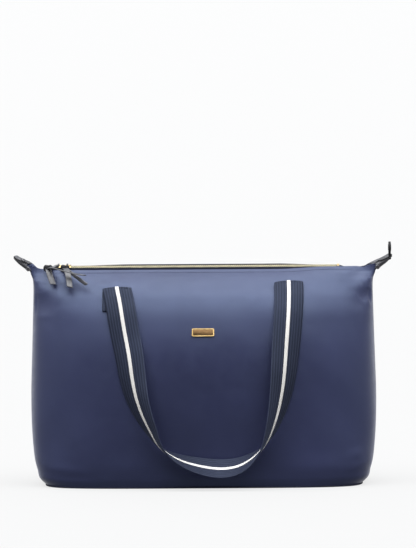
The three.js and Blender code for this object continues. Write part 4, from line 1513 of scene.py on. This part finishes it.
@dataclass
class PullLace:
    """A leather lace that is looped round a slider's bridge and knotted."""

    end: End
    knot_x: float
    tails: tuple[Tail, ...]
    thickness: float = 1.3 * MM
    knot_forward: float = 9.2 * MM
    knot_above: float = 3.6 * MM
    bridge_z: float = 3.3 * MM
    knot_size: tuple[float, float, float] = (4.5 * MM, 3.6 * MM, 3.7 * MM)
    knot_band: float = 2.5 * MM
    loop_radius: float = 1.15 * MM
    loop_width: float = 2.8 * MM

    def strip(self, name: str, line: Array, wide: Array, width: float, fade: bool) -> bpy.types.Object:
        """A flat strip of leather along a line.

        Args:
            name: The object's name.
            line: A few points that it follows.
            wide: The direction of its width.
            width: Its width.
            fade: Whether its far end is cut at a slant.

        Returns:
            The strip.
        """
        marks = distances_along(line)
        steps = np.linspace(0, marks[-1], 40)
        curve = np.stack([smooth_through(marks, line[:, k], steps) for k in range(3)], axis=-1)
        ahead = unit(np.gradient(curve, axis=0))
        thick = unit(np.cross(ahead, wide))
        broad = np.cross(thick, ahead)
        angles = np.linspace(0, 2 * np.pi, 20, endpoint=False)
        c, s = np.cos(angles), np.sin(angles)
        w = np.sign(c) * np.abs(c) ** 0.35 * width / 2
        t = np.sign(s) * np.abs(s) ** 0.5 * self.thickness / 2
        cup = 0.35 * MM * (1 - (2 * w / width) ** 2)
        slant = np.zeros((40, 20))
        if fade:
            slant[-6:] = np.linspace(0, 1, 6)[:, None] * (w / width)[None] * 3.4 * MM
        rings = (
            curve[:, None]
            + broad[:, None] * w[None, :, None]
            + thick[:, None] * (t + cup)[None, :, None]
            + ahead[:, None] * slant[..., None]
        )
        uvs = np.stack(np.meshgrid(np.linspace(0, width * 2, 21), steps), axis=-1)
        return tube_object(name, rings, uvs)

    def knot(self, name: str, middle: Array) -> bpy.types.Object:
        """The knot: a band wound over and round a tight core.

        Args:
            name: The object's name.
            middle: The knot's middle.

        Returns:
            The knot.
        """
        turns = np.linspace(0, 2 * np.pi, 72, endpoint=False)
        size = np.array(self.knot_size)
        twist = np.stack(
            [
                np.sin(turns) + 0.55 * np.sin(2 * turns),
                np.cos(turns) - 0.55 * np.cos(2 * turns),
                -0.9 * np.sin(3 * turns),
            ],
            axis=-1,
        )
        line = middle + twist * size * 0.62
        return round_bar(name, line, self.knot_band, sides=12, closed=True)

    def build(self, shop: Workshop) -> None:
        """Makes the loop, the knot and the tails.

        Args:
            shop: Where the pieces are dressed and placed.
        """
        name = self.end.name.lower()
        body = f"{name}_lace"
        middle = BAG.on_zip(self.knot_x, -self.knot_forward, self.knot_above)
        knot = self.knot(f"{name}_lace_knot", middle)
        # The knot takes the darker copy of the lace's leather: painted shade of the wound knot.
        shop.place(knot, "shade_dark_leather", body, "leather", (f"{name}_pull_lace",))
        bridge = BAG.on_zip(SLIDER_PLACES[self.end], 0.0, self.bridge_z)
        around = np.linspace(0.1 * np.pi, 1.9 * np.pi, 15)
        down = -BAG.zip_out
        forward = np.array([0, -math.cos(BAG.zip_tilt), -math.sin(BAG.zip_tilt)])
        loop = bridge + self.loop_radius * (
            np.cos(around)[:, None] * forward + np.sin(around)[:, None] * down
        )
        reach = np.array([middle * 0.75 + loop[0] * 0.25])
        line = np.concatenate([reach, loop, reach])
        band = self.strip(f"{name}_lace_loop", line, ACROSS, self.loop_width, False)
        shop.place(band, "leather", body, "leather")
        for number, tail in enumerate(self.tails, 1):
            line = middle + np.array(tail.points) * MM
            made = self.strip(
                f"{name}_lace_tail_{number}", line, np.array(tail.flat), tail.width, True
            )
            shop.place(made, "leather", body, "leather")


def smooth_through(marks: Array, values: Array, at: Array) -> Array:
    """A smooth curve through values.

    Args:
        marks: Where the values stand.
        values: The values.
        at: Where to read the curve.

    Returns:
        The curve's values there.
    """
    slopes = np.gradient(values, marks)
    i = np.clip(np.searchsorted(marks, at, side="right") - 1, 0, len(marks) - 2)
    span = marks[i + 1] - marks[i]
    t = (at - marks[i]) / span
    a, b = values[i], values[i + 1]
    return (
        (2 * t**3 - 3 * t**2 + 1) * a
        + (t**3 - 2 * t**2 + t) * span * slopes[i]
        + (-2 * t**3 + 3 * t**2) * b
        + (t**3 - t**2) * span * slopes[i + 1]
    )


# The handles


@dataclass
class CarryHandle:
    """A webbing handle with a white stripe, folded over its two sewn-down ends."""

    side: Side
    width: float = 38 * MM
    thickness: float = 2.0 * MM
    stripe_width: float = 4.7 * MM
    half_spacing: float = 112.4 * MM
    fold_height: float = 259.6 * MM
    fold_tilt: float = 3.3 * MM
    drop: float = 232.4 * MM
    rest: float = 2.6 * MM
    fold_radius: float = 1.6 * MM
    clearance: float = 0.3 * MM
    turn: float = math.radians(122)
    crown: float = 1.5 * MM
    steps: int = 260
    anchor_length: float = 31 * MM
    shares: tuple = (
        (-1, 0, 0), (-0.968, 0.066, 0), (-0.941, 0.137, 0.015), (-0.907, 0.231, 0.04),
        (-0.856, 0.354, 0.1), (-0.808, 0.503, 0.2), (-0.756, 0.609, 0.32), (-0.681, 0.704, 0.43),
        (-0.593, 0.79, 0.54), (-0.525, 0.85, 0.64), (-0.435, 0.897, 0.74), (-0.27, 0.945, 0.86),
        (-0.052, 0.98, 0.96), (0.21, 1, 1), (0.415, 0.986, 0.95), (0.598, 0.934, 0.81),
        (0.714, 0.865, 0.65), (0.789, 0.785, 0.52), (0.863, 0.67, 0.385), (0.918, 0.53, 0.25),
        (0.956, 0.353, 0.12), (0.99, 0.162, 0.03), (1, 0.063, 0), (1, 0, 0),
    )

    @property
    def name(self) -> str:
        """The handle's name, after the side that it hangs on."""
        return self.side.name.lower()

    def route(self) -> Array:
        """The handle's line as shares, at even steps from fold to fold.

        Returns:
            Place across, drop and turn, one a row.
        """
        given = np.array(self.shares, float)
        padded = np.vstack([2 * given[0] - given[1], given, 2 * given[-1] - given[-2]])
        place = np.linspace(0, len(given) - 1, self.steps + 1)
        i = np.clip(place.astype(int), 0, len(given) - 2)
        t = (place - i)[:, None]
        p0, p1, p2, p3 = (padded[i + k] for k in range(4))
        gap = [
            np.maximum(np.sum((b - a) ** 2, axis=1) ** 0.25, 1e-4)[:, None]
            for a, b in ((p0, p1), (p1, p2), (p2, p3))
        ]
        first = ((p1 - p0) / gap[0] - (p2 - p0) / (gap[0] + gap[1]) + (p2 - p1) / gap[1]) * gap[1]
        last = ((p2 - p1) / gap[1] - (p3 - p1) / (gap[1] + gap[2]) + (p3 - p2) / gap[2]) * gap[1]
        square = -3 * p1 + 3 * p2 - 2 * first - last
        cube = 2 * p1 - 2 * p2 + first + last
        return p1 + first * t + square * t**2 + cube * t**3

    def height_at(self, share: Array) -> Array:
        """The height of the line through both folds, at shares from -1 at its start to 1."""
        return self.fold_height + self.fold_tilt * share

    def fold_line(self) -> tuple[list[tuple[Array, Array]], Array]:
        """The straight line just off the panel that both folds of the webbing turn round.

        Returns:
            The middle and the outward direction of each fold, and the line's direction.
        """
        mirror = -self.side.value
        edge = self.width / 2 / self.half_spacing
        shares = np.array([-1, 1, -1 - edge, -1 + edge, 1 - edge, 1 + edge])
        points, normals = BAG.at(
            self.side, mirror * self.half_spacing * shares, self.height_at(shares)
        )
        reach = self.side.value * points[:, 1]
        level = reach[0] + (reach[1] - reach[0]) * (shares + 1) / 2
        bulge = max(0.0, float(np.max(reach - level)))
        lift = self.clearance + self.thickness / 2 + self.fold_radius
        slopes = [unit(normals[i] * [0, 1, 1]) for i in (0, 1)]
        middles = [
            points[i] + [0, self.side.value * bulge, 0] + slopes[i] * lift for i in (0, 1)
        ]
        line = unit(middles[1] - middles[0])
        slopes = [unit(slope - line * (slope @ line)) for slope in slopes]
        return list(zip(middles, slopes, strict=True)), line

    def stations(self) -> tuple[Array, Array, Array]:
        """The middle, width direction and face direction of the hanging webbing.

        Returns:
            Three arrays with one row a station.
        """
        mirror = -self.side.value
        share = self.route()
        x = mirror * self.half_spacing * share[:, 0]
        fall = self.drop * np.maximum(share[:, 1], 0)
        turn = self.turn * np.clip(share[:, 2], 0, 1)
        point, normal = BAG.at(self.side, x, self.height_at(share[:, 0]) - fall)
        high = self.clearance + self.thickness / 2 + 2 * self.fold_radius
        flat = high + (self.rest - high) * smooth(share[:, 1], 0.15, 0.3)
        middle = point + normal * (flat + self.width / 2 * np.sin(turn))[:, None]
        for _ in range(6):
            middle[1:-1] = (middle[:-2] + 2 * middle[1:-1] + middle[2:]) / 4
        ahead = unit(np.gradient(middle, axis=0))
        inward = unit(np.cross(normal, ahead))
        outward = np.cross(ahead, inward)
        wide = inward * np.cos(turn)[:, None] + outward * np.sin(turn)[:, None]
        thick = unit(np.cross(ahead, wide))
        for index, end, at in ((0, -1, -1), (-1, 1, 0)):
            arc = self.fold_stations(end)
            middle[index], wide[index], thick[index] = (values[at] for values in arc)
        return middle, wide, thick

    def fold_stations(self, end: int, count: int = 15) -> tuple[Array, Array, Array]:
        """The webbing's turn round the fold at one end of the handle.

        Args:
            end: -1 where the handle starts and 1 where it ends.
            count: How many stations.

        Returns:
            Middles, width directions and face directions, in the handle's order.
        """
        folds, line = self.fold_line()
        axis, slope = folds[0 if end < 0 else 1]
        down = unit(np.cross(slope, line))
        if down[2] > 0:
            down = -down
        angle = np.pi * (1 - np.linspace(0, 1, count))
        out = np.cos(angle)[:, None] * slope - np.sin(angle)[:, None] * down
        middle = axis + out * self.fold_radius
        wide = np.repeat((-end * line)[None], count, axis=0)
        if end > 0:
            return middle[::-1], wide[::-1], out[::-1]
        return middle, wide, out

    def band(
        self,
        name: str,
        stations: tuple[Array, Array, Array],
        width: float,
        thickness: float,
        raised: float,
        start: float = 0.0,
    ) -> bpy.types.Object:
        """A woven band along stations, crowned across and with soft edges.

        Args:
            name: The object's name.
            stations: Middles, width directions and face directions.
            width: The band's width.
            thickness: Its thickness.
            raised: How far off the stations' middle it lies.
            start: Where the cloth's length is counted from.

        Returns:
            The band.
        """
        middle, wide, thick = stations
        angles = np.linspace(0, 2 * np.pi, 48, endpoint=False)
        c, s = np.cos(angles), np.sin(angles)
        w = np.sign(c) * np.abs(c) ** 0.6 * width / 2
        edge = np.clip(1 - np.abs(2 * w / width) ** 6, 0, 1) ** 0.5
        t = np.sign(s) * (0.25 + 0.75 * edge) * np.minimum(1, 3 * np.abs(s)) * thickness / 2
        arch = self.crown * (1 - (2 * w / self.width) ** 2) - self.crown * 0.5
        rings = (
            middle[:, None]
            + wide[:, None] * w[None, :, None]
            + thick[:, None] * (t + arch + raised)[None, :, None]
        )
        along = start + distances_along(middle)
        across = np.concatenate([w, w[:1]])
        uvs = np.stack(np.meshgrid(across, along), axis=-1)
        return tube_object(name, rings, uvs)

    def build(self, shop: Workshop) -> None:
        """Makes the hanging webbing, its folds, anchors, stripes and stitches.

        Args:
            shop: Where the pieces are dressed and placed.
        """
        body = f"{self.name}_handle"
        hanging = self.stations()
        strap = self.band(f"{self.name}_strap", hanging, self.width, self.thickness, 0.0)
        shop.place(strap, "webbing", body, "webbing", (f"{body}_webbing",))
        middle = hanging[0]
        raised = self.thickness / 2 + 0.12 * MM
        shown = self.route()[:, 1] * self.drop > self.anchor_length + 6 * MM
        for face, sign, keep in (("outer", 1, np.ones(len(middle), bool)), ("inner", -1, shown)):
            part = tuple(values[keep] for values in hanging)
            stripe = self.band(
                f"{self.name}_{face}_stripe", part, self.stripe_width, 0.4 * MM, sign * raised
            )
            shop.place(stripe, "stripe", body, "white_stripe", (f"{body}_{face}_stripe",))
        for end in (-1, 1):
            self.build_end(shop, end)

    def build_end(self, shop: Workshop, end: int) -> None:
        """Makes the fold, the anchor, its backing and its stitches at one end.

        Args:
            shop: Where the pieces are dressed and placed.
            end: -1 where the handle starts and 1 where it ends.
        """
        body = f"{self.name}_handle"
        x = end * -self.side.value * self.half_spacing
        place = "left" if x < 0 else "right"
        stations = self.fold_stations(end)
        axis, slope = self.fold_line()[0][0 if end < 0 else 1]
        back, front = axis - slope * self.fold_radius, axis + slope * self.fold_radius
        fold = self.band(f"{self.name}_{place}_fold", stations, self.width, self.thickness, 0.0)
        shop.bend(fold, "webbing", "webbing", ("root", body), (back, front))
        raised = self.thickness / 2 + 0.12 * MM
        stripe = self.band(
            f"{self.name}_{place}_fold_stripe", stations, self.stripe_width, 0.4 * MM, raised
        )
        shop.bend(stripe, "stripe", "white_stripe", ("root", body), (back, front))
        reach = (self.fold_radius + self.thickness / 2 + self.clearance) * abs(slope[1])
        height = self.anchor_length * abs(slope[1])
        mirror = -self.side.value

        def patch(across: Array, up: Array, margin: float = 0.0) -> tuple[Array, Array]:
            """Places below the fold, at shares across from -0.5 to 0.5 and up from 0 to 1."""
            at = x + across * (self.width + 2 * margin)
            top = self.height_at(mirror * at / self.half_spacing) - reach
            return BAG.at(self.side, at, top + margin * up - (1 - up) * (height + margin))

        u, v = np.meshgrid(np.linspace(-0.5, 0.5, 20), np.linspace(0, 1, 16))
        points, normals = patch(u, v)
        lift = 1.35 * MM + 0.1 * MM * np.sin(v * 9)
        uvs = np.stack([u * self.width, v * self.anchor_length], axis=-1)
        anchor = grid_object(
            f"{self.name}_{place}_anchor_patch",
            points + normals * lift[..., None],
            uvs,
            flip=self.side is Side.BACK,
        )
        thicken(anchor, self.thickness, offset=0.0)
        ease_edges(anchor, 0.5 * MM)
        node = f"{self.name}_{place}_anchor"
        shop.place(anchor, "webbing", "root", "webbing", (node,))
        ring = np.array([(-0.4, 0.1), (0.4, 0.1), (0.4, 0.9), (-0.4, 0.9), (-0.4, 0.1), (0.4, 0.9)])
        line = np.concatenate([np.linspace(a, b, 12) for a, b in zip(ring, ring[1:])])
        seam, out = patch(line[:, 0], line[:, 1])
        stitches = stitch_run(
            f"{self.name}_{place}_anchor_stitches", seam + out * 2.4 * MM, out, 2.4 * MM, 0.8 * MM
        )
        shop.place(stitches, "thread", "root", "webbing")
        points, normals = patch(u, v, 4 * MM)
        backing = grid_object(
            f"{self.name}_{place}_backing_patch",
            points - normals * 2.4 * MM,
            uvs,
            flip=self.side is Side.BACK,
        )
        thicken(backing, 1.0 * MM, offset=0.0)
        shop.place(backing, "lining", "root", "lining", (f"{self.name}_{place}_backing",))


# The leather at the ears


@dataclass
class EndTab:
    """Leather folded over the tip of one ear, stitched along its lower edge."""

    end: End
    inner: float = 0.5 * MM
    thickness: float = 1.4 * MM
    low_height: float = 0.985
    crease: float = 0.45
    crease_rise: float = 1.3 * MM
    groove: float = 1.2 * MM
    rim: float = 0.75 * MM
    tip_reach: float = 1.2 * MM
    top_gap: float = 0.8 * MM

    def start(self, side: Side) -> float:
        """How far from the bag's middle the leather starts on a broad side.

        Args:
            side: Which broad side.

        Returns:
            The distance in metres.
        """
        starts = {
            (End.LEFT, Side.FRONT): 232.0 * MM,
            (End.LEFT, Side.BACK): 224.0 * MM,
            (End.RIGHT, Side.FRONT): 227.2 * MM,
            (End.RIGHT, Side.BACK): 215.0 * MM,
        }
        return starts[self.end, side]

    def flap(self, side: Side, distance: float) -> Array:
        """The leather on one broad side of the ear, from its lower edge to the ear's top.

        Args:
            side: Which broad side.
            distance: How far off the cloth.

        Returns:
            Rows of points, the lowest first.
        """
        heights = np.linspace(self.low_height, 1, 15)
        shares = np.linspace(0, 1, 30)
        height, share = np.meshgrid(heights, shares, indexing="ij")
        climb = (height - self.low_height) / (1 - self.low_height)
        fall = np.where(climb < self.crease, climb / self.crease, (1 - climb) / (1 - self.crease))
        pressed = fall * np.sin(np.pi * (0.12 + 0.8 * share)) * self.crease_rise
        width = BAG.half_width * BAG.row(height)[..., 0]
        start = np.minimum(self.start(side) / width, 0.985)
        along = start + (1 - start) * share**0.8
        points = BAG.point(side, self.end.value * along, height)
        normals = BAG.normal(side, self.end.value * along, height, step=0.0015)
        normals[:, -1, 1] = 0
        points = points + unit(normals) * (distance + pressed)[..., None]
        points[:, -1, 0] += self.end.value * self.tip_reach
        past = BAG.zip_out * (self.top_gap + distance)
        return np.concatenate([points, (points[-1] + past)[None]])

    def build(self, shop: Workshop) -> None:
        """Makes the tab and its stitches.

        Args:
            shop: Where the pieces are dressed and placed.
        """
        name = self.end.name.lower()
        middle = self.inner + self.thickness / 2
        back, front = self.flap(Side.BACK, middle), self.flap(Side.FRONT, middle)
        shares = np.linspace(0, 1, 7)[1:-1, None, None]
        over = back[-1] * (1 - shares) + front[-1] * shares
        fade = 1 - smooth(np.linspace(0, 1, back.shape[1]), 0.55, 0.95)[None, :, None]
        over = over - BAG.zip_out * self.groove * np.sin(np.pi * shares**3) * fade
        points = np.concatenate([back, over, front[::-1]])
        across = distances_along(points[:, 0])
        along = distances_along(points[len(points) // 2])
        uvs = np.stack(np.meshgrid(along, across), axis=-1)
        tab = grid_object(f"{name}_tab_leather", points, uvs, flip=self.end is End.RIGHT)
        thicken(tab, self.thickness, offset=0.0)
        ease_edges(tab, 0.35 * MM)
        shop.place(tab, "leather", "root", "leather", (f"{name}_end_tab",))
        # A dark leather cord along the front flap's top edge: partly the tab's dark cut edge, partly painted
        # shade of the fold behind it.
        rim = round_bar(f"{name}_tab_edge", front[-1] + UP * 0.3 * MM, self.rim)
        shop.place(rim, "shade_dark_leather", "root", "leather")
        for side in Side:
            face = self.flap(side, self.inner + self.thickness)
            line = face[6, :-2]
            out = np.repeat(np.array([[0.0, float(side.value), 0.3]]), len(line), axis=0)
            stitches = stitch_run(
                f"{name}_tab_{side.name.lower()}_stitches", line, out, 2.2 * MM, 0.9 * MM
            )
            shop.place(stitches, "pale_thread", "root", "leather")


@dataclass
class SnapTongue:
    """The upright leather tongue on the right tab, with its snap, and the stud on the left tab."""

    bend: tuple[float, float, float] = (0.2452, -0.0021, 0.3)
    length: float = 18 * MM
    width: float = 14 * MM
    thickness: float = 3.1 * MM
    snap_at: float = 10.5 * MM
    stud_place: tuple[float, float, float] = (-0.235014, -0.001342, 0.295785)
    stud_out: tuple[float, float, float] = (0.403207, -0.372208, 0.835993)
    rivet_place: tuple[float, float, float] = (0.2453, -2.4 * MM, 0.2948)
    rivet_out: tuple[float, float, float] = (0.0, -1.0, 0.0)

    def outline(self) -> Array:
        """The tongue's outline, across and along, from its bend round its end and back.

        Returns:
            The points, one a row.
        """
        half = self.width / 2
        angles = np.linspace(0, np.pi, 24)
        end = np.stack([half * np.cos(angles), self.length - half + half * np.sin(angles)], axis=-1)
        return np.concatenate([[(half, 0.0)], end, [(-half, 0.0)]])

    def upright(self, across: Array, along: Array, out: Array) -> Array:
        """Points given in the tongue's own plane, as points of the bag.

        Args:
            across: Places across the tongue.
            along: Places along it, from its bend.
            out: Places off its plane.

        Returns:
            The points, one a row.
        """
        c, s = math.cos(BAG.zip_tilt), math.sin(BAG.zip_tilt)
        sideways, upwards = np.array([0, c, s]), np.array([0, -s, c])
        return (
            np.array(self.bend)
            + np.asarray(across)[..., None] * sideways
            + np.asarray(along)[..., None] * upwards
            + np.asarray(out)[..., None] * ACROSS
        )

    def turned(self, name: str, middle: Array, out: Array, profile: tuple) -> bpy.types.Object:
        """A round part turned about a line.

        Args:
            name: The object's name.
            middle: The middle of its foot.
            out: The direction of its line.
            profile: Radii and heights, from its foot to its top.

        Returns:
            The part.
        """
        out = unit(np.asarray(out))
        one = unit(np.cross(out, UP if abs(out[2]) < 0.9 else ACROSS))
        two = np.cross(out, one)
        angles = np.linspace(0, 2 * np.pi, 32, endpoint=False)
        circle = np.cos(angles)[:, None] * one + np.sin(angles)[:, None] * two
        rings = np.array([np.asarray(middle) + out * h * MM + circle * r * MM for r, h in profile])
        return tube_object(name, rings, np.zeros((len(profile), 33, 2)))

    def build(self, shop: Workshop) -> None:
        """Makes the tongue, its snap and the stud.

        Args:
            shop: Where the pieces are dressed and placed.
        """
        outline = self.outline()
        centre = np.array([0.0, self.length * 0.45])
        rings = []
        for share in (1.0, 0.95, 0.6, 0.2):
            ring = centre + (outline - centre) * share
            rings.append((ring, self.thickness / 2 - (0.5 * MM if share == 1.0 else 0)))
        layers = [*rings[::-1], *[(ring, -t) for ring, t in rings]]
        points = np.array([self.upright(ring[:, 0], ring[:, 1], t) for ring, t in layers])
        tongue = tube_object("tongue_leather", points, np.zeros((len(layers), len(outline) + 1, 2)))
        # The tongue takes the darker copy of the leather: painted shade on a tongue seen edge-on.
        shop.place(tongue, "shade_dark_leather", "tongue", "leather", ("snap_tongue",))
        half = self.thickness / 2
        cap_foot = self.upright(0.0, self.snap_at, half)
        dome = ((4.9, -0.1), (4.9, 0.15), (4.2, 0.42), (2.4, 0.55), (0.4, 0.6))
        cap = self.turned("snap_cap_dome", cap_foot, ACROSS, dome)
        shop.place(cap, "snap", "tongue", "snap_metal", ("snap_cap",))
        socket_foot = self.upright(0.0, self.snap_at, -half)
        hollow = ((4.0, -0.1), (4.0, 0.3), (3.6, 0.45), (2.1, 0.45), (1.9, 0.3), (1.8, -0.1))
        socket = self.turned("snap_socket_ring", socket_foot, -ACROSS, hollow)
        shop.place(socket, "snap", "tongue", "snap_metal", ("snap_socket",))
        foot = np.array(self.stud_place)
        low = ((3.3, -1.0), (3.3, -0.5), (2.9, -0.3), (1.5, -0.2), (1.4, 0.3), (1.5, 0.5), (1.1, 0.7))
        stud = self.turned("snap_stud_post", foot, np.array(self.stud_out), low)
        shop.place(stud, "leather", "root", "snap_metal", ("snap_stud",))
        head = ((2.0, 0.0), (2.0, 0.5), (1.6, 0.9), (0.6, 1.1))
        rivet = self.turned("tongue_rivet", np.array(self.rivet_place), np.array(self.rivet_out), head)
        shop.place(rivet, "snap", "root", "snap_metal")


# The badge and what is inside


@dataclass
class Badge:
    """The small bare plate on the front, with a raised rim round a brushed field."""

    height: float = 202.5 * MM
    size: tuple[float, float] = (26.2 * MM, 7.7 * MM)
    corner: float = 0.9 * MM

    def build(self, shop: Workshop) -> None:
        """Dresses the plate and lays the field in its recess.

        Args:
            shop: Where the pieces are dressed and placed.
        """
        shop.keep("badge_plate", "badge", "badge_metal", 0.3 * MM)
        shop.keep("badge_backing", "badge", "badge_metal", 0.2 * MM)
        point, normal = BAG.at(Side.FRONT, np.array(0.0), np.array(self.height))
        high = np.cross(normal, ACROSS)
        width, tall = self.size[0] / 2 - self.corner, self.size[1] / 2 - self.corner
        angles = np.linspace(0, 2 * np.pi, 48, endpoint=False)
        x = np.sign(np.cos(angles)) * width + self.corner * np.cos(angles)
        y = np.sign(np.sin(angles)) * tall + self.corner * np.sin(angles)
        outline = point + x[:, None] * ACROSS + y[:, None] * high
        layers = [outline + normal * d for d in (1.25 * MM, 1.5 * MM)]
        rings = np.array([layers[0], layers[1]])
        uvs = np.stack([np.append(x, x[0]), np.append(y, y[0])], axis=-1)
        field_plate = tube_object("badge_field", rings, np.stack([uvs, uvs]))
        ease_edges(field_plate, 0.1 * MM)
        shop.place(field_plate, "plate_field", "root", "badge_metal")


@dataclass
class InnerPocket:
    """The slip pocket inside the back panel, with its hem."""

    half_width: float = 76 * MM
    bottom: float = 62 * MM
    mouth: float = 168 * MM
    stand_off: float = 12.5 * MM
    hem: float = 9 * MM

    def sheet(self, name: str, low: float, back: float) -> bpy.types.Object:
        """A sheet of the pocket between a height and its mouth.

        Args:
            name: The object's name.
            low: Its lower edge.
            back: How far inside the outer face it is sewn.

        Returns:
            The sheet.
        """
        u, v = np.meshgrid(np.linspace(-1, 1, 49), np.linspace(0, 1, 25))
        z = low + (self.mouth - low) * v
        points, normals = BAG.at(Side.BACK, u * self.half_width, z)
        climb = (z - self.bottom) / (self.mouth - self.bottom)
        slack = self.stand_off * smooth(1 - np.abs(u), 0, 0.33) * smooth(climb, 0, 0.5)
        points = points - normals * (back + slack)[..., None]
        uvs = np.stack([u * self.half_width, z], axis=-1)
        made = grid_object(name, points, uvs)
        thicken(made, 0.8 * MM, offset=0.0)
        return made

    def build(self, shop: Workshop) -> None:
        """Makes the pocket and its hem.

        Args:
            shop: Where the pieces are dressed and placed.
        """
        pocket = self.sheet("pocket_cloth", self.bottom, 2.5 * MM)
        shop.place(pocket, "lining", "root", "lining", ("inner_pocket",))
        hem = self.sheet("pocket_hem_tape", self.mouth - self.hem, 3.6 * MM)
        shop.place(hem, "webbing", "root", "webbing", ("pocket_hem",))


# The studio


@dataclass
class Studio:
    """A pale floor, soft light and the camera."""

    distance: float = 8.0
    azimuth: float = 0.35
    elevation: float = 3.8
    roll: float = 0.37
    aim: tuple[float, float, float] = (0.00666, 0.0, 0.2752)
    metres_a_pixel: float = 1.314 * MM
    image: tuple[int, int] = (416, 548)
    ahead: float = 0.2
    beside: float = 2.9
    overhead: float = 17.2
    behind: float = 0.5
    paper: float = 0.025
    paper_glow: float = 0.72

    def floor(self) -> None:
        """Lays the pale floor."""
        size = 60.0
        corners = np.array([(-size, -size, 0), (size, -size, 0), (size, size, 0), (-size, size, 0)])
        corners[:, 2] = -0.4 * MM
        made = new_object("floor", corners, [[0, 1, 2, 3]])
        material = bpy.data.materials.new("pale paper")
        material.use_nodes = True
        board = NodeBoard(material.node_tree)
        shader = material.node_tree.nodes["Principled BSDF"]
        shader.inputs["Roughness"].default_value = 0.95
        shader.inputs["Specular IOR Level"].default_value = 0.1
        noise = board.add("ShaderNodeTexNoise")
        noise.inputs["Scale"].default_value = 3
        board.join(board.add("ShaderNodeTexCoord").outputs["Object"], noise.inputs["Vector"])
        colour = board.blend_colours(noise.outputs[0], (self.paper,) * 3, (self.paper * 1.01,) * 3)
        board.join(colour, shader.inputs["Base Color"])
        shader.inputs["Emission Color"].default_value = (1, 1, 1, 1)
        shader.inputs["Emission Strength"].default_value = self.paper_glow
        made.data.materials.append(material)

    def camera(self) -> None:
        """Sets the camera up at the photograph's angle."""
        data = bpy.data.cameras.new("camera")
        data.sensor_width = 36
        data.sensor_fit = "AUTO"
        tall = self.image[1] * self.metres_a_pixel
        data.lens = data.sensor_width * self.distance / tall
        data.clip_start, data.clip_end = 0.05, 200
        made = bpy.data.objects.new("camera", data)
        bpy.context.scene.collection.objects.link(made)
        a, e = math.radians(self.azimuth), math.radians(self.elevation)
        back = Vector((math.sin(a) * math.cos(e), -math.cos(a) * math.cos(e), math.sin(e)))
        made.location = Vector(self.aim) + back * self.distance
        made.rotation_mode = "QUATERNION"
        turn = Matrix.Rotation(-math.radians(self.roll), 3, back).to_quaternion()
        made.rotation_quaternion = turn @ (-back).to_track_quat("-Z", "Y")
        bpy.context.scene.camera = made

    def sky(self) -> None:
        """Surrounds the studio with a wide soft box high in front, pale sides and a dim front."""
        world = bpy.data.worlds.new("studio")
        world.use_nodes = True
        board = NodeBoard(world.node_tree)
        shade = world.node_tree.nodes["Background"]
        parts = board.add("ShaderNodeSeparateXYZ")
        board.join(board.add("ShaderNodeTexCoord").outputs["Generated"], parts.inputs[0])
        x, y, z = parts.outputs
        high = board.ramp(z, 0.5, 0.8, 0.0, self.overhead)
        forward = board.ramp(y, 0.3, -0.05, 0.1, 1.0)
        box = board.maths("MULTIPLY", high, forward)
        aside = board.ramp(board.maths("ABSOLUTE", x), 0.12, 0.62, self.ahead, self.beside)
        low = board.ramp(z, 0.15, 0.45, 1.0, 0.4)
        rim = board.ramp(y, 0.0, 0.5, 0.0, self.behind)
        around = board.maths("ADD", board.maths("MULTIPLY", aside, low), rim)
        board.join(board.maths("ADD", box, around), shade.inputs["Strength"])
        shade.inputs["Color"].default_value = (0.97, 0.985, 1.0, 1)
        bpy.context.scene.world = world

    def build(self) -> None:
        """Sets up the whole studio."""
        self.floor()
        self.camera()
        self.sky()
        bpy.context.scene.view_settings.view_transform = "Standard"


def make_tote() -> None:
    """Makes the whole tote in order."""
    logging.basicConfig(level=logging.INFO, format="%(name)s: %(message)s")
    shop = Workshop()
    ClothPanels().build(shop)
    Zipper().build(shop)
    across = (1.0, 0.0, 0.0)
    left = PullLace(
        End.LEFT,
        -203.2 * MM,
        (
            Tail(((0, 0, 0), (1, -7, -3), (4, -13, -12), (7, -17, -20)), 7.6 * MM, across),
            Tail(
                ((0, 0, 0), (6, -14, 1.5), (15, -23, -0.5), (34, -25.5, -5.5), (49, -25.5, -8)),
                6.1 * MM,
                (0.0, 1.0, 0.0),
            ),
        ),
    )
    right = PullLace(
        End.RIGHT,
        -181.011 * MM,
        (
            Tail(((0, 0, 0), (2, -8, -1), (5, -19, -9.5), (7, -29.5, -23)), 7.6 * MM, across),
            Tail(((0, 0, 0), (5, -9, -3), (15, -18, -10), (29, -28, -20)), 4.8 * MM, (0.6, -0.5, 1.0)),
        ),
    )
    for lace in (left, right):
        lace.build(shop)
    for side in Side:
        CarryHandle(side).build(shop)
    for end in End:
        EndTab(end).build(shop)
    SnapTongue().build(shop)
    Badge().build(shop)
    InnerPocket().build(shop)
    Studio().build()


if __name__ == "__main__":
    make_tote()
